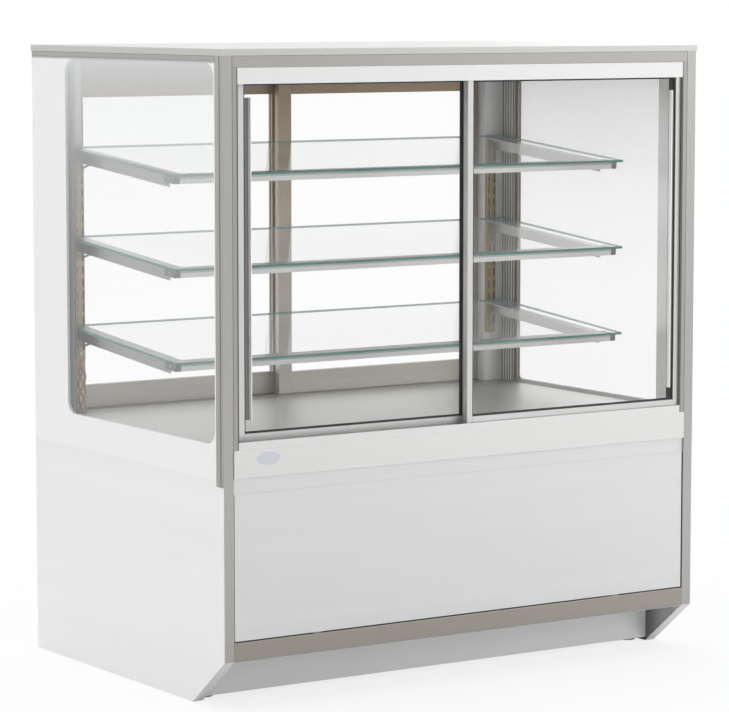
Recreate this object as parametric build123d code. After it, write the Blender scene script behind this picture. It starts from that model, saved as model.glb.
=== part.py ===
from build123d import *
import math
import os

# A free-standing self-service bakery case: a closed sheet-metal base, a glazed upper
# cabinet with three sloping glass shelves, two sliding doors for shoppers at the front
# and two for staff at the back.
# Millimetres. X runs along the front, Y to the back, Z up. The origin is on the floor,
# under the middle of the footprint, and the front faces -Y.

# Overall size
WIDTH = 1219.0
DEPTH = 820.0
HEIGHT = 1350.0
CAP_OVERHANG = 1.5

# Sheet and tube
SHEET = 1.5
EDGE = 1.0
BUTT_GAP = 0.5

# Lower cabinet
TOE_HEIGHT = 102.0
TOE_DEPTH = 129.0
KICK_CLEARANCE = 8.0
RAIL_HEIGHT = 39.0
END_PANEL_HEIGHT = 476.0
LOWER_POST_TOP = 463.0
PANEL_HEIGHT = 306.0
PANEL_RECESS = 2.0
PANEL_REVEAL = 2.0
PANEL_RETURN = 18.0
TRIM_HEIGHT = 32.0
TRIM_RECESS = 3.5
NOSE_HEIGHT = 58.0
REAR_PANEL_RECESS = 8.0
FRAME_TUBE = 40.0
FRAME_WALL = 2.0
FOOT_RADIUS = 20.0
FOOT_HEIGHT = 8.0
STEM_RADIUS = 5.0
NUT_HEIGHT = 8.0
NUT_RADIUS = 9.5
FOOT_INSET = 24.0

# Corner posts and top
POST_WIDTH = 25.0
POST_DEPTH = 28.0
POST_GROOVE = 4.0
POST_GROOVE_DEPTH = 1.0
POST_GROOVE_SETBACK = 7.0
CAP_HEIGHT = 14.0
CAP_LIP = 30.0
TOP_RAIL_HEIGHT = 24.0
SIDE_RAIL_HEIGHT = 11.0
HEADER_HEIGHT = 33.0
HEADER_WALL = 2.0

# Front doors and what they run in
JAMB_FACE = 12.0
JAMB_STEP = 17.0
SILL_DEPTH = 62.5
SILL_BASE = 4.0
SILL_LIP = 16.0
RUNNER_HEIGHT = 8.0
RUNNER_GAP = 1.5
RUNNER_WIDTH = 3.0
TRACK_SETBACK = 12.5
TRACK_PITCH = 23.0
DOOR_THICKNESS = 14.0
DOOR_STILE = 14.0
DOOR_LAP = 20.0
DOOR_BOTTOM_BAR = 19.5
DOOR_TOP_BAR = 15.0
DOOR_GLASS = 5.0
DOOR_END_GAP = 0.5
GASKET_THICKNESS = 8.0
GASKET_LIP = 3.5
GASKET_GROOVE = 5.0
GLASS_SETBACK = 1.0
PULL_MARGIN = 28.0
PULL_WIDTH = 11.5
PULL_BASE = 1.2
PULL_LIP = 2.0
PULL_STAND = 5.0
ROLLER_TREAD = 6.0
ROLLER_FLANGE = 7.2
FLANGE_WIDTH = 1.2
ROLLER_SIDE_PLAY = 0.3
ROLLER_LIFT = 0.3
ROLLER_INSET = 60.0
AXLE_RADIUS = 2.0
AXLE_PLAY = 0.05
POCKET_PLAY = 0.8

# Glazed ends
BORDER_THICKNESS = 6.0
WINDOW_BOTTOM = 548.0
WINDOW_FRONT_BORDER = 4.0
WINDOW_TOP_BORDER = 4.0
WINDOW_RADIUS = 30.0
COLUMN_DEPTH = 154.5
COLUMN_THICKNESS = 7.0
JAMB_DEPTH = 107.5
REAR_JAMB_WIDTH = 51.0
SEAL_WIDTH = 18.0
SEAL_THICKNESS = 3.0

# Deck and shelves
DECK_RISE = 4.0
DECK_SIDE_GAP = 3.0
BOTTOM_SHELF_RISE = 155.0
SLOT_PITCH = 28.0
SLOTS_PER_SHELF = 7
SHELF_COUNT = 3
SHELF_TILT = 5.0
SHELF_SETBACK = 228.5
SHELF_END_GAP = 10.0
SHELF_REAR_GAP = 3.0
SHELF_GLASS = 6.0
STANDARD_WIDTH = 24.0
STANDARD_DEPTH = 10.0
STANDARD_WALL = 2.0
SLOT_ROWS = 16.0
SLOT_WIDTH = 4.0
SLOT_LENGTH = 18.0
SPARE_SLOTS_BELOW = 1
STANDARD_TAIL = 31.0
STANDARD_SCREW_RISE = 14.0
ARM_HEIGHT = 28.0
ARM_SHEET = 2.0
ARM_FLANGE = 25.0
TANG_HEIGHT = 14.0
TANG_LENGTH = 6.0
BAR_SETBACK = 14.0
BAR_DEPTH = 42.0
BAR_HEIGHT = 16.0
BAR_WALL = 2.0
BAR_END_GAP = 21.0
LENS_DEPTH = 14.0
LENS_HEIGHT = 10.0
END_CAP = 14.0
LEAD_DIAMETER = 5.0
LEAD_BEND = 12.0
LEAD_TIGHT_BEND = 5.0
LEAD_GAP = 0.2
LEAD_HANG = 106.0
LEAD_ENTRY = 6.0
LEAD_ENTRY_HOLE = 2.9
LEAD_SPACING = 5.2
LEAD_SHIFT_DROP = 24.0
LEAD_TAIL = 8.0
TWIST_FORWARD = 15.0
TWIST_RADIUS = 7.5
TWIST_PITCH = 96.0
TWIST_HEIGHT = 75.0
TWIST_RISE = 12.0
TWIST_START = 80.0
TWIST_EASE = 8.0
GROMMET_RADIUS = 11.5
LEAD_FLOOR_GAP = 16.0
LEAD_STEP = 9.0

# Lamp under the front header
LAMP_DEPTH = 30.0
LAMP_HEIGHT = 22.0
LAMP_LENS_HEIGHT = 8.0
LAMP_LENS_DEPTH = 22.0
LAMP_END_GAP = 11.0

# Rear doors and what they run in
REAR_TRACK_SETBACK = 72.0
REAR_TRACK_PITCH = 28.0
REAR_DOOR_THICKNESS = 16.0
REAR_STILE = 35.0
REAR_BOTTOM_BAR = 55.7
REAR_TOP_BAR = 47.0
REAR_RAIL_GROOVE = 2.0
REAR_RAIL_GROOVE_RISE = 34.0
REAR_GLASS = 4.0
REAR_GLASS_GROOVE = 8.0
REAR_HEADER_HEIGHT = 37.0
REAR_TOP_ENTRY = 5.0
REAR_TRACK_FLOOR = 2.0
REAR_FIN = 2.0
REAR_FIN_HEIGHT = 7.0
REAR_TRACK_DROP = 5.0
REAR_GLIDE_GAP = 0.3
CUP_HEIGHT = 120.0
CUP_WIDTH = 20.0
CUP_DEPTH = 9.0

# Electrical parts in the base
BADGE_LENGTH = 57.0
BADGE_HEIGHT = 28.0
BADGE_INSET = 82.0
BADGE_DROP = 20.0
BADGE_SINK = 0.8
SERVICE_INSET = 183.0
SERVICE_Z = 200.0
INLET_WIDTH = 28.0
INLET_HEIGHT = 20.0
INLET_BODY = 26.0
INLET_FLANGE = 8.0
FLANGE_SHEET = 2.0
SOCKET_DEPTH = 17.0
SOCKET_WALL = 2.5
CONTACT_WIDTH = 2.0
CONTACT_HEIGHT = 5.0
CONTACT_LENGTH = 13.0
CONTACT_PITCH = 7.0
SWITCH_OFFSET = 70.0
SWITCH_WIDTH = 14.0
SWITCH_HEIGHT = 22.0
SWITCH_BODY = 20.0
SWITCH_WALL = 2.0
ROCKER_GAP = 0.5
ROCKER_TILT = 8.0
ROCKER_RADIUS = 24.0
PIVOT_RADIUS = 1.5
PIVOT_PLAY = 0.05
PIVOT_DEPTH = 5.0
DRIVER_LENGTH = 240.0
DRIVER_DEPTH = 90.0
DRIVER_HEIGHT = 50.0
DRIVER_SETBACK = 90.0
SCREW_HEAD = 4.5
SCREW_HEAD_HEIGHT = 2.5
SCREW_RADIUS = 2.0
SCREW_PLAY = 0.1
SCREW_LENGTH = 8.0
SCREW_INSET = 30.0

# Places that follow from the sizes above
HALF = WIDTH / 2 - CAP_OVERHANG
FRONT = CAP_OVERHANG - DEPTH / 2
BACK = -FRONT
INNER = HALF - POST_WIDTH
SERVICE_X = INNER - SERVICE_INSET
POST_BACK = FRONT + POST_DEPTH
RAIL_TOP = TOE_HEIGHT + RAIL_HEIGHT
PANEL_TOP = RAIL_TOP + PANEL_HEIGHT
NOSE_BOTTOM = PANEL_TOP + TRIM_HEIGHT
NOSE_TOP = NOSE_BOTTOM + NOSE_HEIGHT
CAP_BOTTOM = HEIGHT - CAP_HEIGHT
FRAME_TOP = CAP_BOTTOM - TOP_RAIL_HEIGHT
SIDE_TOP = CAP_BOTTOM - SIDE_RAIL_HEIGHT
WINDOW_TOP = SIDE_TOP - WINDOW_TOP_BORDER
HEADER_BOTTOM = FRAME_TOP - HEADER_HEIGHT
SILL_BACK = FRONT + SILL_DEPTH
OUTER_TRACK = FRONT + TRACK_SETBACK
INNER_TRACK = OUTER_TRACK + TRACK_PITCH
RUNNER_TOP = NOSE_TOP + RUNNER_HEIGHT
DOOR_BOTTOM = RUNNER_TOP + RUNNER_GAP
DOOR_TOP = HEADER_BOTTOM + DOOR_TOP_BAR
DOOR_OPENING = (DOOR_BOTTOM + DOOR_BOTTOM_BAR, DOOR_TOP - DOOR_TOP_BAR)
LEFT_DOOR_X = DOOR_END_GAP - (INNER - JAMB_FACE - JAMB_STEP)
RIGHT_DOOR_X = INNER - JAMB_FACE - DOOR_END_GAP
DOOR_WIDTH = (RIGHT_DOOR_X - LEFT_DOOR_X + DOOR_LAP) / 2
GLASS_FACE = HALF - BORDER_THICKNESS
COLUMN_FACE = GLASS_FACE - COLUMN_THICKNESS
REAR_JAMB_FACE = COLUMN_FACE - REAR_JAMB_WIDTH
COLUMN_FRONT = BACK - COLUMN_DEPTH
JAMB_FRONT = BACK - JAMB_DEPTH
DECK_TOP = NOSE_TOP + DECK_RISE
REAR_SILL_FRONT = BACK - REAR_TRACK_SETBACK - REAR_DOOR_THICKNESS / 2 - 2 * REAR_FIN
STANDARD_FACE = JAMB_FRONT - STANDARD_DEPTH
STANDARD_X = REAR_JAMB_FACE + STANDARD_WIDTH / 2
TWIST_Y = JAMB_FRONT - TWIST_FORWARD
SHELF_FRONT = FRONT + SHELF_SETBACK
SHELF_END = COLUMN_FACE - SHELF_END_GAP
SHELF_PITCH = SLOT_PITCH * SLOTS_PER_SHELF
SLOPE = math.tan(math.radians(SHELF_TILT))
SLANT = math.cos(math.radians(SHELF_TILT))
SHELF_DEPTH = (STANDARD_FACE - SHELF_REAR_GAP - SHELF_FRONT) / SLANT
REAR_INNER_TRACK = BACK - REAR_TRACK_SETBACK
REAR_OUTER_TRACK = REAR_INNER_TRACK + REAR_TRACK_PITCH
REAR_TRACK_Z = DECK_TOP - REAR_TRACK_DROP
REAR_PANEL_Y = BACK - REAR_PANEL_RECESS


def block(x, y, z):
    """A box between the two ends given for each axis."""
    size = [high - low for low, high in (x, y, z)]
    middle = [(high + low) / 2 for low, high in (x, y, z)]
    return Pos(*middle) * Box(*size)


def ring(x, z, y, grow):
    """A slab in the plane of a door, between the ends in x and z made larger by grow."""
    return block((x[0] - grow, x[1] + grow), y, (z[0] - grow, z[1] + grow))


def tube_along_x(x, y, z, wall):
    """A rounded box tube that runs along X."""
    middle = Pos((y[0] + y[1]) / 2, (z[0] + z[1]) / 2)
    outer = RectangleRounded(y[1] - y[0], z[1] - z[0], EDGE)
    bore = Rectangle(y[1] - y[0] - 2 * wall, z[1] - z[0] - 2 * wall)
    return extrude(Plane.YZ.offset(x[0]) * middle * (outer - bore), x[1] - x[0])


def tube_along_y(x, y, z, wall):
    """A rounded box tube that runs along Y."""
    middle = Pos((x[0] + x[1]) / 2, -(z[0] + z[1]) / 2)
    outer = RectangleRounded(x[1] - x[0], z[1] - z[0], EDGE)
    bore = Rectangle(x[1] - x[0] - 2 * wall, z[1] - z[0] - 2 * wall)
    plane = Plane((0, y[0], 0), x_dir=(1, 0, 0), z_dir=(0, 1, 0))
    return extrude(plane * middle * (outer - bore), y[1] - y[0])


def tube_upright(x, y, z, wall):
    """A rounded box tube that stands upright."""
    middle = Pos((x[0] + x[1]) / 2, (y[0] + y[1]) / 2)
    outer = RectangleRounded(x[1] - x[0], y[1] - y[0], EDGE)
    bore = Rectangle(x[1] - x[0] - 2 * wall, y[1] - y[0] - 2 * wall)
    return extrude(Plane.XY.offset(z[0]) * middle * (outer - bore), z[1] - z[0])


def mirrored(part):
    """The left-hand twin of a part made for the right-hand end."""
    return mirror(part, about=Plane.YZ)


def rod(radius, length, at, direction):
    """A round rod centred on a point."""
    turned = Plane(at, z_dir=direction)
    return turned * Cylinder(radius, length)


def save(node, *parts):
    """Writes one node, which may hold several like solids."""
    solids = [solid for part in parts for solid in part.solids()]
    shape = solids[0] if len(solids) == 1 else Compound(children=solids)
    export_step(shape, "parts/" + node + ".step")


def end_panel():
    """Right lower end panel: a folded pan that stands on the floor, cut away at the toe."""
    outline = Polygon(
        (FRONT, TOE_HEIGHT),
        (FRONT + TOE_DEPTH, 0),
        (BACK, 0),
        (BACK, END_PANEL_HEIGHT),
        (POST_BACK, END_PANEL_HEIGHT),
        (POST_BACK, LOWER_POST_TOP),
        (FRONT, LOWER_POST_TOP),
        align=None,
    )
    pan = extrude(Plane.YZ.offset(INNER) * outline, POST_WIDTH)
    hollow = offset(outline, -SHEET, kind=Kind.INTERSECTION)
    depth = POST_WIDTH - SHEET
    pocket = extrude(Plane.YZ.offset(INNER) * hollow, depth)
    behind_post = block(
        (INNER, HALF), (POST_BACK + SHEET, BACK), (0, END_PANEL_HEIGHT)
    )
    post_room = block(
        (INNER, HALF - SHEET), (FRONT, POST_BACK), (TOE_HEIGHT, LOWER_POST_TOP)
    )
    return pan - (pocket & behind_post) - post_room


def lower_post():
    """Right lower corner post, a square tube the end panel's skin wraps."""
    x = (INNER, HALF - SHEET)
    return tube_upright(x, (FRONT, POST_BACK), (TOE_HEIGHT, LOWER_POST_TOP), SHEET)


def corner_post():
    """Right upper corner post, grooved on its outer side and its front."""
    x = (INNER, HALF)
    post = tube_upright(x, (FRONT, POST_BACK), (LOWER_POST_TOP, CAP_BOTTOM), 2 * SHEET)
    z = (LOWER_POST_TOP, CAP_BOTTOM)
    groove_front = FRONT + POST_GROOVE_SETBACK
    side_groove = block(
        (HALF - POST_GROOVE_DEPTH, HALF), (groove_front, groove_front + POST_GROOVE), z
    )
    front_groove = block(
        (INNER, INNER + POST_GROOVE / 4), (FRONT, FRONT + POST_GROOVE_DEPTH), z
    )
    return post - side_groove - front_groove


def front_rail():
    """The bottom rail under the front panel, with two pads the panel stands on."""
    y = (FRONT, POST_BACK - SHEET)
    rail = tube_along_x((-INNER, INNER), y, (TOE_HEIGHT, RAIL_TOP), SHEET)
    for x in (-2 * INNER / 3, 2 * INNER / 3):
        pad_y = (FRONT + PANEL_RECESS + SHEET, FRONT + PANEL_RETURN)
        rail += block((x, x + PANEL_RETURN), pad_y, (RAIL_TOP, RAIL_TOP + PANEL_REVEAL))
    return rail


def kick_plate():
    """The recessed toe board, folded back at its top."""
    y = FRONT + TOE_DEPTH
    top = TOE_HEIGHT - SHEET
    plate = block((-INNER, INNER), (y, y + SHEET), (KICK_CLEARANCE, top))
    fold = block((-INNER, INNER), (y, y + FOOT_RADIUS), (top - SHEET, top))
    return plate + fold


def frame_bars():
    """The welded base frame: two long tubes, with three cross tubes between them."""
    z = (TOE_HEIGHT - SHEET - FRAME_TUBE, TOE_HEIGHT - SHEET)
    front = FRONT + TOE_DEPTH + FOOT_RADIUS
    rear = REAR_PANEL_Y - 2 * SHEET
    long_x = (-INNER, INNER)
    bars = [tube_along_x(long_x, (front, front + FRAME_TUBE), z, FRAME_WALL)]
    bars.append(tube_along_x(long_x, (rear - FRAME_TUBE, rear), z, FRAME_WALL))
    for middle in (FRAME_TUBE / 2 - INNER, 0, INNER - FRAME_TUBE / 2):
        x = (middle - FRAME_TUBE / 2, middle + FRAME_TUBE / 2)
        bars.append(
            tube_along_y(x, (front + FRAME_TUBE, rear - FRAME_TUBE), z, FRAME_WALL)
        )
    return bars


def levelling_feet():
    """Four screw feet under the corners of the base frame."""
    seat = TOE_HEIGHT - SHEET - FRAME_TUBE
    front = FRONT + TOE_DEPTH + FOOT_RADIUS + FRAME_TUBE / 2
    rear = REAR_PANEL_Y - 2 * SHEET - FRAME_TUBE / 2
    feet = []
    for x in (FOOT_INSET - INNER, INNER - FOOT_INSET):
        for y in (front, rear):
            pad = Pos(x, y, FOOT_HEIGHT / 2) * Cylinder(FOOT_RADIUS, FOOT_HEIGHT)
            stem_length = seat - FOOT_HEIGHT
            stem = Pos(x, y, FOOT_HEIGHT + stem_length / 2)
            foot = pad + stem * Cylinder(STEM_RADIUS, stem_length)
            nut = Plane.XY.offset(seat - NUT_HEIGHT) * Pos(x, y)
            feet.append(foot + extrude(nut * RegularPolygon(NUT_RADIUS, 6), NUT_HEIGHT))
    return feet


def base_floor():
    """The sheet floor of the lower cabinet."""
    y = (FRONT, REAR_PANEL_Y - SHEET)
    return block((-INNER, INNER), y, (TOE_HEIGHT - SHEET, TOE_HEIGHT))


def front_panel():
    """The lift-off lower front panel, a shallow folded pan."""
    x = (PANEL_REVEAL - INNER, INNER - PANEL_REVEAL)
    y = (FRONT + PANEL_RECESS, FRONT + PANEL_RECESS + PANEL_RETURN)
    z = (RAIL_TOP + PANEL_REVEAL, PANEL_TOP)
    pan = fillet(block(x, y, z).edges().group_by(Axis.Y)[0], EDGE)
    hollow = block(
        (x[0] + SHEET, x[1] - SHEET), (y[0] + SHEET, y[1]), (z[0] + SHEET, z[1] - SHEET)
    )
    return pan - hollow


def trim_strip():
    """The recessed strip between the front panel and the nosing."""
    y = (FRONT + TRIM_RECESS, POST_BACK - SHEET)
    face = block((-INNER, INNER), (y[0], y[0] + SHEET), (PANEL_TOP, NOSE_BOTTOM))
    foot = block((-INNER, INNER), y, (PANEL_TOP, PANEL_TOP + SHEET))
    return face + foot


def sill_nose():
    """The nosing under the front doors, with a shallow seat for the badge plate."""
    face_y = (FRONT - CAP_OVERHANG, FRONT)
    face = block((-INNER, INNER), face_y, (NOSE_BOTTOM, NOSE_TOP))
    face += block((-INNER, INNER), (FRONT, SILL_BACK), (NOSE_TOP - SHEET, NOSE_TOP))
    foot_y = (FRONT, POST_BACK - SHEET)
    face += block((-INNER, INNER), foot_y, (NOSE_BOTTOM, NOSE_BOTTOM + SHEET))
    outer = face.edges().filter_by(Axis.X).group_by(Axis.Y)[0]
    nose = fillet(outer, EDGE)
    return nose - badge(FRONT - CAP_OVERHANG, BADGE_SINK)


def badge(face, depth):
    """An oval plate set into the nosing near its left end."""
    plane = Plane(
        (BADGE_INSET - INNER, face + depth, NOSE_TOP - BADGE_DROP),
        x_dir=(1, 0, 0),
        z_dir=(0, -1, 0),
    )
    return extrude(plane * Ellipse(BADGE_LENGTH / 2, BADGE_HEIGHT / 2), depth)


def front_sill():
    """The double track the front doors roll on."""
    x = (JAMB_FACE - INNER, INNER - JAMB_FACE)
    base_top = NOSE_TOP + SILL_BASE
    sill = block(x, (FRONT, SILL_BACK), (NOSE_TOP, base_top))
    for y in (FRONT, SILL_BACK - SHEET):
        sill += block(x, (y, y + SHEET), (base_top, NOSE_TOP + SILL_LIP))
    runner = (JAMB_FACE + JAMB_STEP - INNER, INNER - JAMB_FACE - JAMB_STEP)
    for middle, reach in ((OUTER_TRACK, x), (INNER_TRACK, runner)):
        y = (middle - RUNNER_WIDTH / 2, middle + RUNNER_WIDTH / 2)
        sill += block(reach, y, (base_top, RUNNER_TOP))
    corners = block(
        (-runner[0], x[1]),
        (INNER_TRACK - DOOR_THICKNESS / 2 - SHEET, SILL_BACK),
        (base_top, FRAME_TOP),
    )
    return sill - corners - mirrored(corners)


def front_jamb():
    """Right door jamb, deeper across beside the inner track."""
    z = (NOSE_TOP, FRAME_TOP)
    step_y = INNER_TRACK - DOOR_THICKNESS / 2 - SHEET
    thin = block((INNER - JAMB_FACE, INNER), (FRONT, step_y), z)
    deep_z = (NOSE_TOP + SILL_BASE, FRAME_TOP)
    deep_x = (INNER - JAMB_FACE - JAMB_STEP, INNER)
    jamb = thin + block(deep_x, (step_y, SILL_BACK), deep_z)
    jamb += block((INNER - JAMB_FACE, INNER), (step_y, SILL_BACK), z)
    bore = block(
        (deep_x[0] + SHEET, INNER - SHEET), (step_y + SHEET, SILL_BACK - SHEET), z
    )
    thin_bore = block(
        (INNER - JAMB_FACE + SHEET, INNER - SHEET),
        (FRONT + SHEET, step_y + 2 * SHEET),
        z,
    )
    return jamb - bore - thin_bore


def front_header():
    """The channel over the front doors, with a fin that keeps the two doors apart."""
    x = (JAMB_FACE - INNER, INNER - JAMB_FACE)
    z = (HEADER_BOTTOM, FRAME_TOP)
    header = block(x, (FRONT, SILL_BACK), (FRAME_TOP - HEADER_WALL, FRAME_TOP))
    fin = (OUTER_TRACK + INNER_TRACK - HEADER_WALL) / 2
    for y in (FRONT, fin, SILL_BACK - HEADER_WALL):
        header += block(x, (y, y + HEADER_WALL), z)
    step_y = INNER_TRACK - DOOR_THICKNESS / 2 - SHEET
    corner_x = (INNER - JAMB_FACE - JAMB_STEP, INNER - JAMB_FACE)
    corner = block(corner_x, (step_y, SILL_BACK), z)
    header = header - corner - mirrored(corner)
    return header


def top_rails():
    """The four tubes under the cap: front, back and both ends."""
    z = (FRAME_TOP, CAP_BOTTOM)
    side_z = (SIDE_TOP, CAP_BOTTOM)
    side = tube_along_y((INNER, HALF), (POST_BACK, BACK), side_z, SHEET)
    plug_z = (side_z[0] + SHEET, side_z[1] - SHEET)
    side += block((INNER + SHEET, HALF - SHEET), (BACK - SHEET, BACK), plug_z)
    front_y = (FRONT, POST_BACK - SHEET)
    rear_y = (BACK - POST_WIDTH, BACK)
    front = tube_along_x((-INNER, INNER), front_y, z, SHEET)
    rear = tube_along_x((-INNER, INNER), rear_y, z, SHEET)
    return [front, rear, side, mirrored(side)]


def top_panel():
    """The cap: a folded pan with a lip all round that lies on the top rails."""
    x = (-WIDTH / 2, WIDTH / 2)
    y = (-DEPTH / 2, DEPTH / 2)
    pan = block(x, y, (CAP_BOTTOM, HEIGHT))
    pan = fillet(pan.edges().group_by(Axis.Z)[-1], EDGE)
    room_x = (x[0] + SHEET, x[1] - SHEET)
    room_y = (y[0] + SHEET, y[1] - SHEET)
    room = block(room_x, room_y, (CAP_BOTTOM + SHEET, HEIGHT - SHEET))
    mouth_x = (x[0] + CAP_LIP, x[1] - CAP_LIP)
    mouth_y = (y[0] + CAP_LIP, y[1] - CAP_LIP)
    mouth = block(mouth_x, mouth_y, (CAP_BOTTOM, CAP_BOTTOM + SHEET))
    return pan - room - mouth


def window(grow, thickness):
    """The rounded window of the right end, as a slab against the outer face."""
    y = (POST_BACK + WINDOW_FRONT_BORDER, COLUMN_FRONT)
    z = (WINDOW_BOTTOM, WINDOW_TOP)
    middle = Pos((y[0] + y[1]) / 2, (z[0] + z[1]) / 2)
    shape = RectangleRounded(
        y[1] - y[0] + 2 * grow, z[1] - z[0] + 2 * grow, WINDOW_RADIUS + grow
    )
    return extrude(Plane.YZ.offset(HALF - thickness) * middle * shape, thickness)


def end_frame():
    """Right upper end: a border plate, the rear column and a tab that shuts its top corner."""
    z = (END_PANEL_HEIGHT, FRAME_TOP)
    plate = block((GLASS_FACE, HALF), (POST_BACK, BACK), (z[0], SIDE_TOP))
    column = Polygon(
        (COLUMN_FACE, COLUMN_FRONT),
        (GLASS_FACE, COLUMN_FRONT),
        (GLASS_FACE, BACK),
        (REAR_JAMB_FACE, BACK),
        (REAR_JAMB_FACE, JAMB_FRONT),
        (COLUMN_FACE, JAMB_FRONT),
        align=None,
    )
    section = column - offset(column, -SHEET, kind=Kind.INTERSECTION)
    shaft = extrude(Plane.XY.offset(z[0]) * section, z[1] - z[0])
    tab = block((INNER, GLASS_FACE), (BACK - SHEET, BACK), (FRAME_TOP, SIDE_TOP))
    return plate - window(0, BORDER_THICKNESS) + shaft + tab


def end_seal():
    """Right dark strip behind the rear edge of the end glass."""
    z = (WINDOW_BOTTOM, WINDOW_TOP)
    x = (GLASS_FACE - SEAL_THICKNESS, GLASS_FACE)
    return block(x, (COLUMN_FRONT - SEAL_WIDTH, COLUMN_FRONT), z)


def deck():
    """The display floor: a folded pan that stands on the end panels."""
    x = (DECK_SIDE_GAP - COLUMN_FACE, COLUMN_FACE - DECK_SIDE_GAP)
    y = (SILL_BACK, REAR_SILL_FRONT)
    z = (END_PANEL_HEIGHT, DECK_TOP)
    pan = fillet(block(x, y, z).edges().group_by(Axis.Z)[-1], EDGE)
    hollow = block(
        (x[0] + SHEET, x[1] - SHEET), (y[0] + SHEET, y[1] - SHEET), (z[0], z[1] - SHEET)
    )
    notch = block(
        (REAR_JAMB_FACE - BUTT_GAP, HALF), (JAMB_FRONT - BUTT_GAP, BACK), (0, HEIGHT)
    )
    grommet = Pos(-STANDARD_X, TWIST_Y, DECK_TOP) * Cylinder(GROMMET_RADIUS, 4 * SHEET)
    skirt = block(
        (REAR_JAMB_FACE - BUTT_GAP - SHEET, x[1]),
        (JAMB_FRONT - BUTT_GAP - SHEET, y[1]),
        (z[0], z[1] - SHEET),
    )
    corner = skirt - notch
    tray = pan - hollow + corner + mirrored(corner) - notch - mirrored(notch)
    return tray - grommet


def standard():
    """Right slotted standard: a channel with two rows of slots in its face."""
    x = (STANDARD_X - STANDARD_WIDTH / 2, STANDARD_X + STANDARD_WIDTH / 2)
    first = hook_height(0) - SPARE_SLOTS_BELOW * SLOT_PITCH
    last = hook_height(SHELF_COUNT - 1)
    z = (first - STANDARD_TAIL, last + SLOT_LENGTH)
    channel = block(x, (STANDARD_FACE, JAMB_FRONT), z)
    room_y = (STANDARD_FACE + STANDARD_WALL, JAMB_FRONT)
    channel -= block((x[0] + STANDARD_WALL, x[1] - STANDARD_WALL), room_y, z)
    slots = []
    for row in (STANDARD_X - SLOT_ROWS / 2, STANDARD_X + SLOT_ROWS / 2):
        for step in range(slot_count()):
            middle = first + step * SLOT_PITCH
            slot_x = (row - SLOT_WIDTH / 2, row + SLOT_WIDTH / 2)
            slot_z = (middle - SLOT_LENGTH / 2, middle + SLOT_LENGTH / 2)
            slots.append(block(slot_x, (STANDARD_FACE, room_y[0]), slot_z))
    for level in range(SHELF_COUNT):
        hole_at = (lead_row(), STANDARD_FACE, lead_entry_height(level))
        slots.append(rod(LEAD_ENTRY_HOLE, 3 * STANDARD_WALL, hole_at, (0, 1, 0)))
    screw_at = (STANDARD_X, STANDARD_FACE, standard_screw_height())
    slots.append(rod(SCREW_RADIUS + SCREW_PLAY, 3 * STANDARD_WALL, screw_at, (0, 1, 0)))
    return channel - slots


def standard_screw_height():
    """Height of the screw near the foot of a standard."""
    first = hook_height(0) - SPARE_SLOTS_BELOW * SLOT_PITCH
    return first - STANDARD_TAIL + STANDARD_SCREW_RISE


def slot_count():
    """How many slots one row has."""
    return SPARE_SLOTS_BELOW + (SHELF_COUNT - 1) * SLOTS_PER_SHELF + 1


def shelf_height(level):
    """Height of a shelf's top face at its front edge."""
    return DECK_TOP + BOTTOM_SHELF_RISE + level * SHELF_PITCH


def hook_height(level):
    """Height of the middle of an arm where it meets the standard."""
    rise = (STANDARD_FACE - SHELF_FRONT) * SLOPE
    return shelf_height(level) + rise - (SHELF_GLASS + ARM_HEIGHT / 2) / SLANT


def on_shelf(level):
    """The sloping frame of a shelf: its front top edge, with Y up the slope."""
    return Pos(0, SHELF_FRONT, shelf_height(level)) * Rot(SHELF_TILT, 0, 0)


def shelf_glass(level):
    """One glass shelf with polished edges."""
    pane = block((-SHELF_END, SHELF_END), (0, SHELF_DEPTH), (-SHELF_GLASS, 0))
    return on_shelf(level) * chamfer(pane.edges(), EDGE / 2)


def arm(level):
    """Right cantilever arm: a web with a flange that carries the glass, and a tang."""
    row = STANDARD_X + SLOT_ROWS / 2
    web_x = (row - ARM_SHEET / 2, row + ARM_SHEET / 2)
    reach = (BAR_SETBACK + BAR_DEPTH, SHELF_DEPTH + STANDARD_DEPTH + SHELF_REAR_GAP)
    web = block(web_x, reach, (-SHELF_GLASS - ARM_HEIGHT, -SHELF_GLASS))
    flange_x = (web_x[1] - ARM_FLANGE, web_x[1])
    web += block(flange_x, reach, (-SHELF_GLASS - ARM_SHEET, -SHELF_GLASS))
    beyond = block((0, WIDTH), (STANDARD_FACE, DEPTH), (0, HEIGHT))
    middle = hook_height(level)
    tang_z = (middle - TANG_HEIGHT / 2, middle + TANG_HEIGHT / 2)
    tang = block(web_x, (STANDARD_FACE, STANDARD_FACE + TANG_LENGTH), tang_z)
    return on_shelf(level) * web - beyond + tang


def bar_span():
    """The ends of a shelf's light bar in X."""
    return (BAR_END_GAP - SHELF_END, SHELF_END - BAR_END_GAP)


def light_bar(level):
    """The hollow bar under a shelf's front edge, cut away for its lens."""
    y = (BAR_SETBACK, BAR_SETBACK + BAR_DEPTH)
    z = (-SHELF_GLASS - BAR_HEIGHT, -SHELF_GLASS)
    bar = block(bar_span(), y, z)
    bar -= block(bar_span(), (y[0], y[0] + LENS_DEPTH), (z[0], z[0] + LENS_HEIGHT))
    bore_y = (y[0] + LENS_DEPTH + BAR_WALL, y[1] - BAR_WALL)
    bar -= block(bar_span(), bore_y, (z[0] + BAR_WALL, z[1] - BAR_WALL))
    return on_shelf(level) * bar


def bar_lens(level):
    """The diffuser along the lower front of a light bar."""
    y = (BAR_SETBACK, BAR_SETBACK + LENS_DEPTH)
    bottom = -SHELF_GLASS - BAR_HEIGHT
    return on_shelf(level) * block(bar_span(), y, (bottom, bottom + LENS_HEIGHT))


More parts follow.
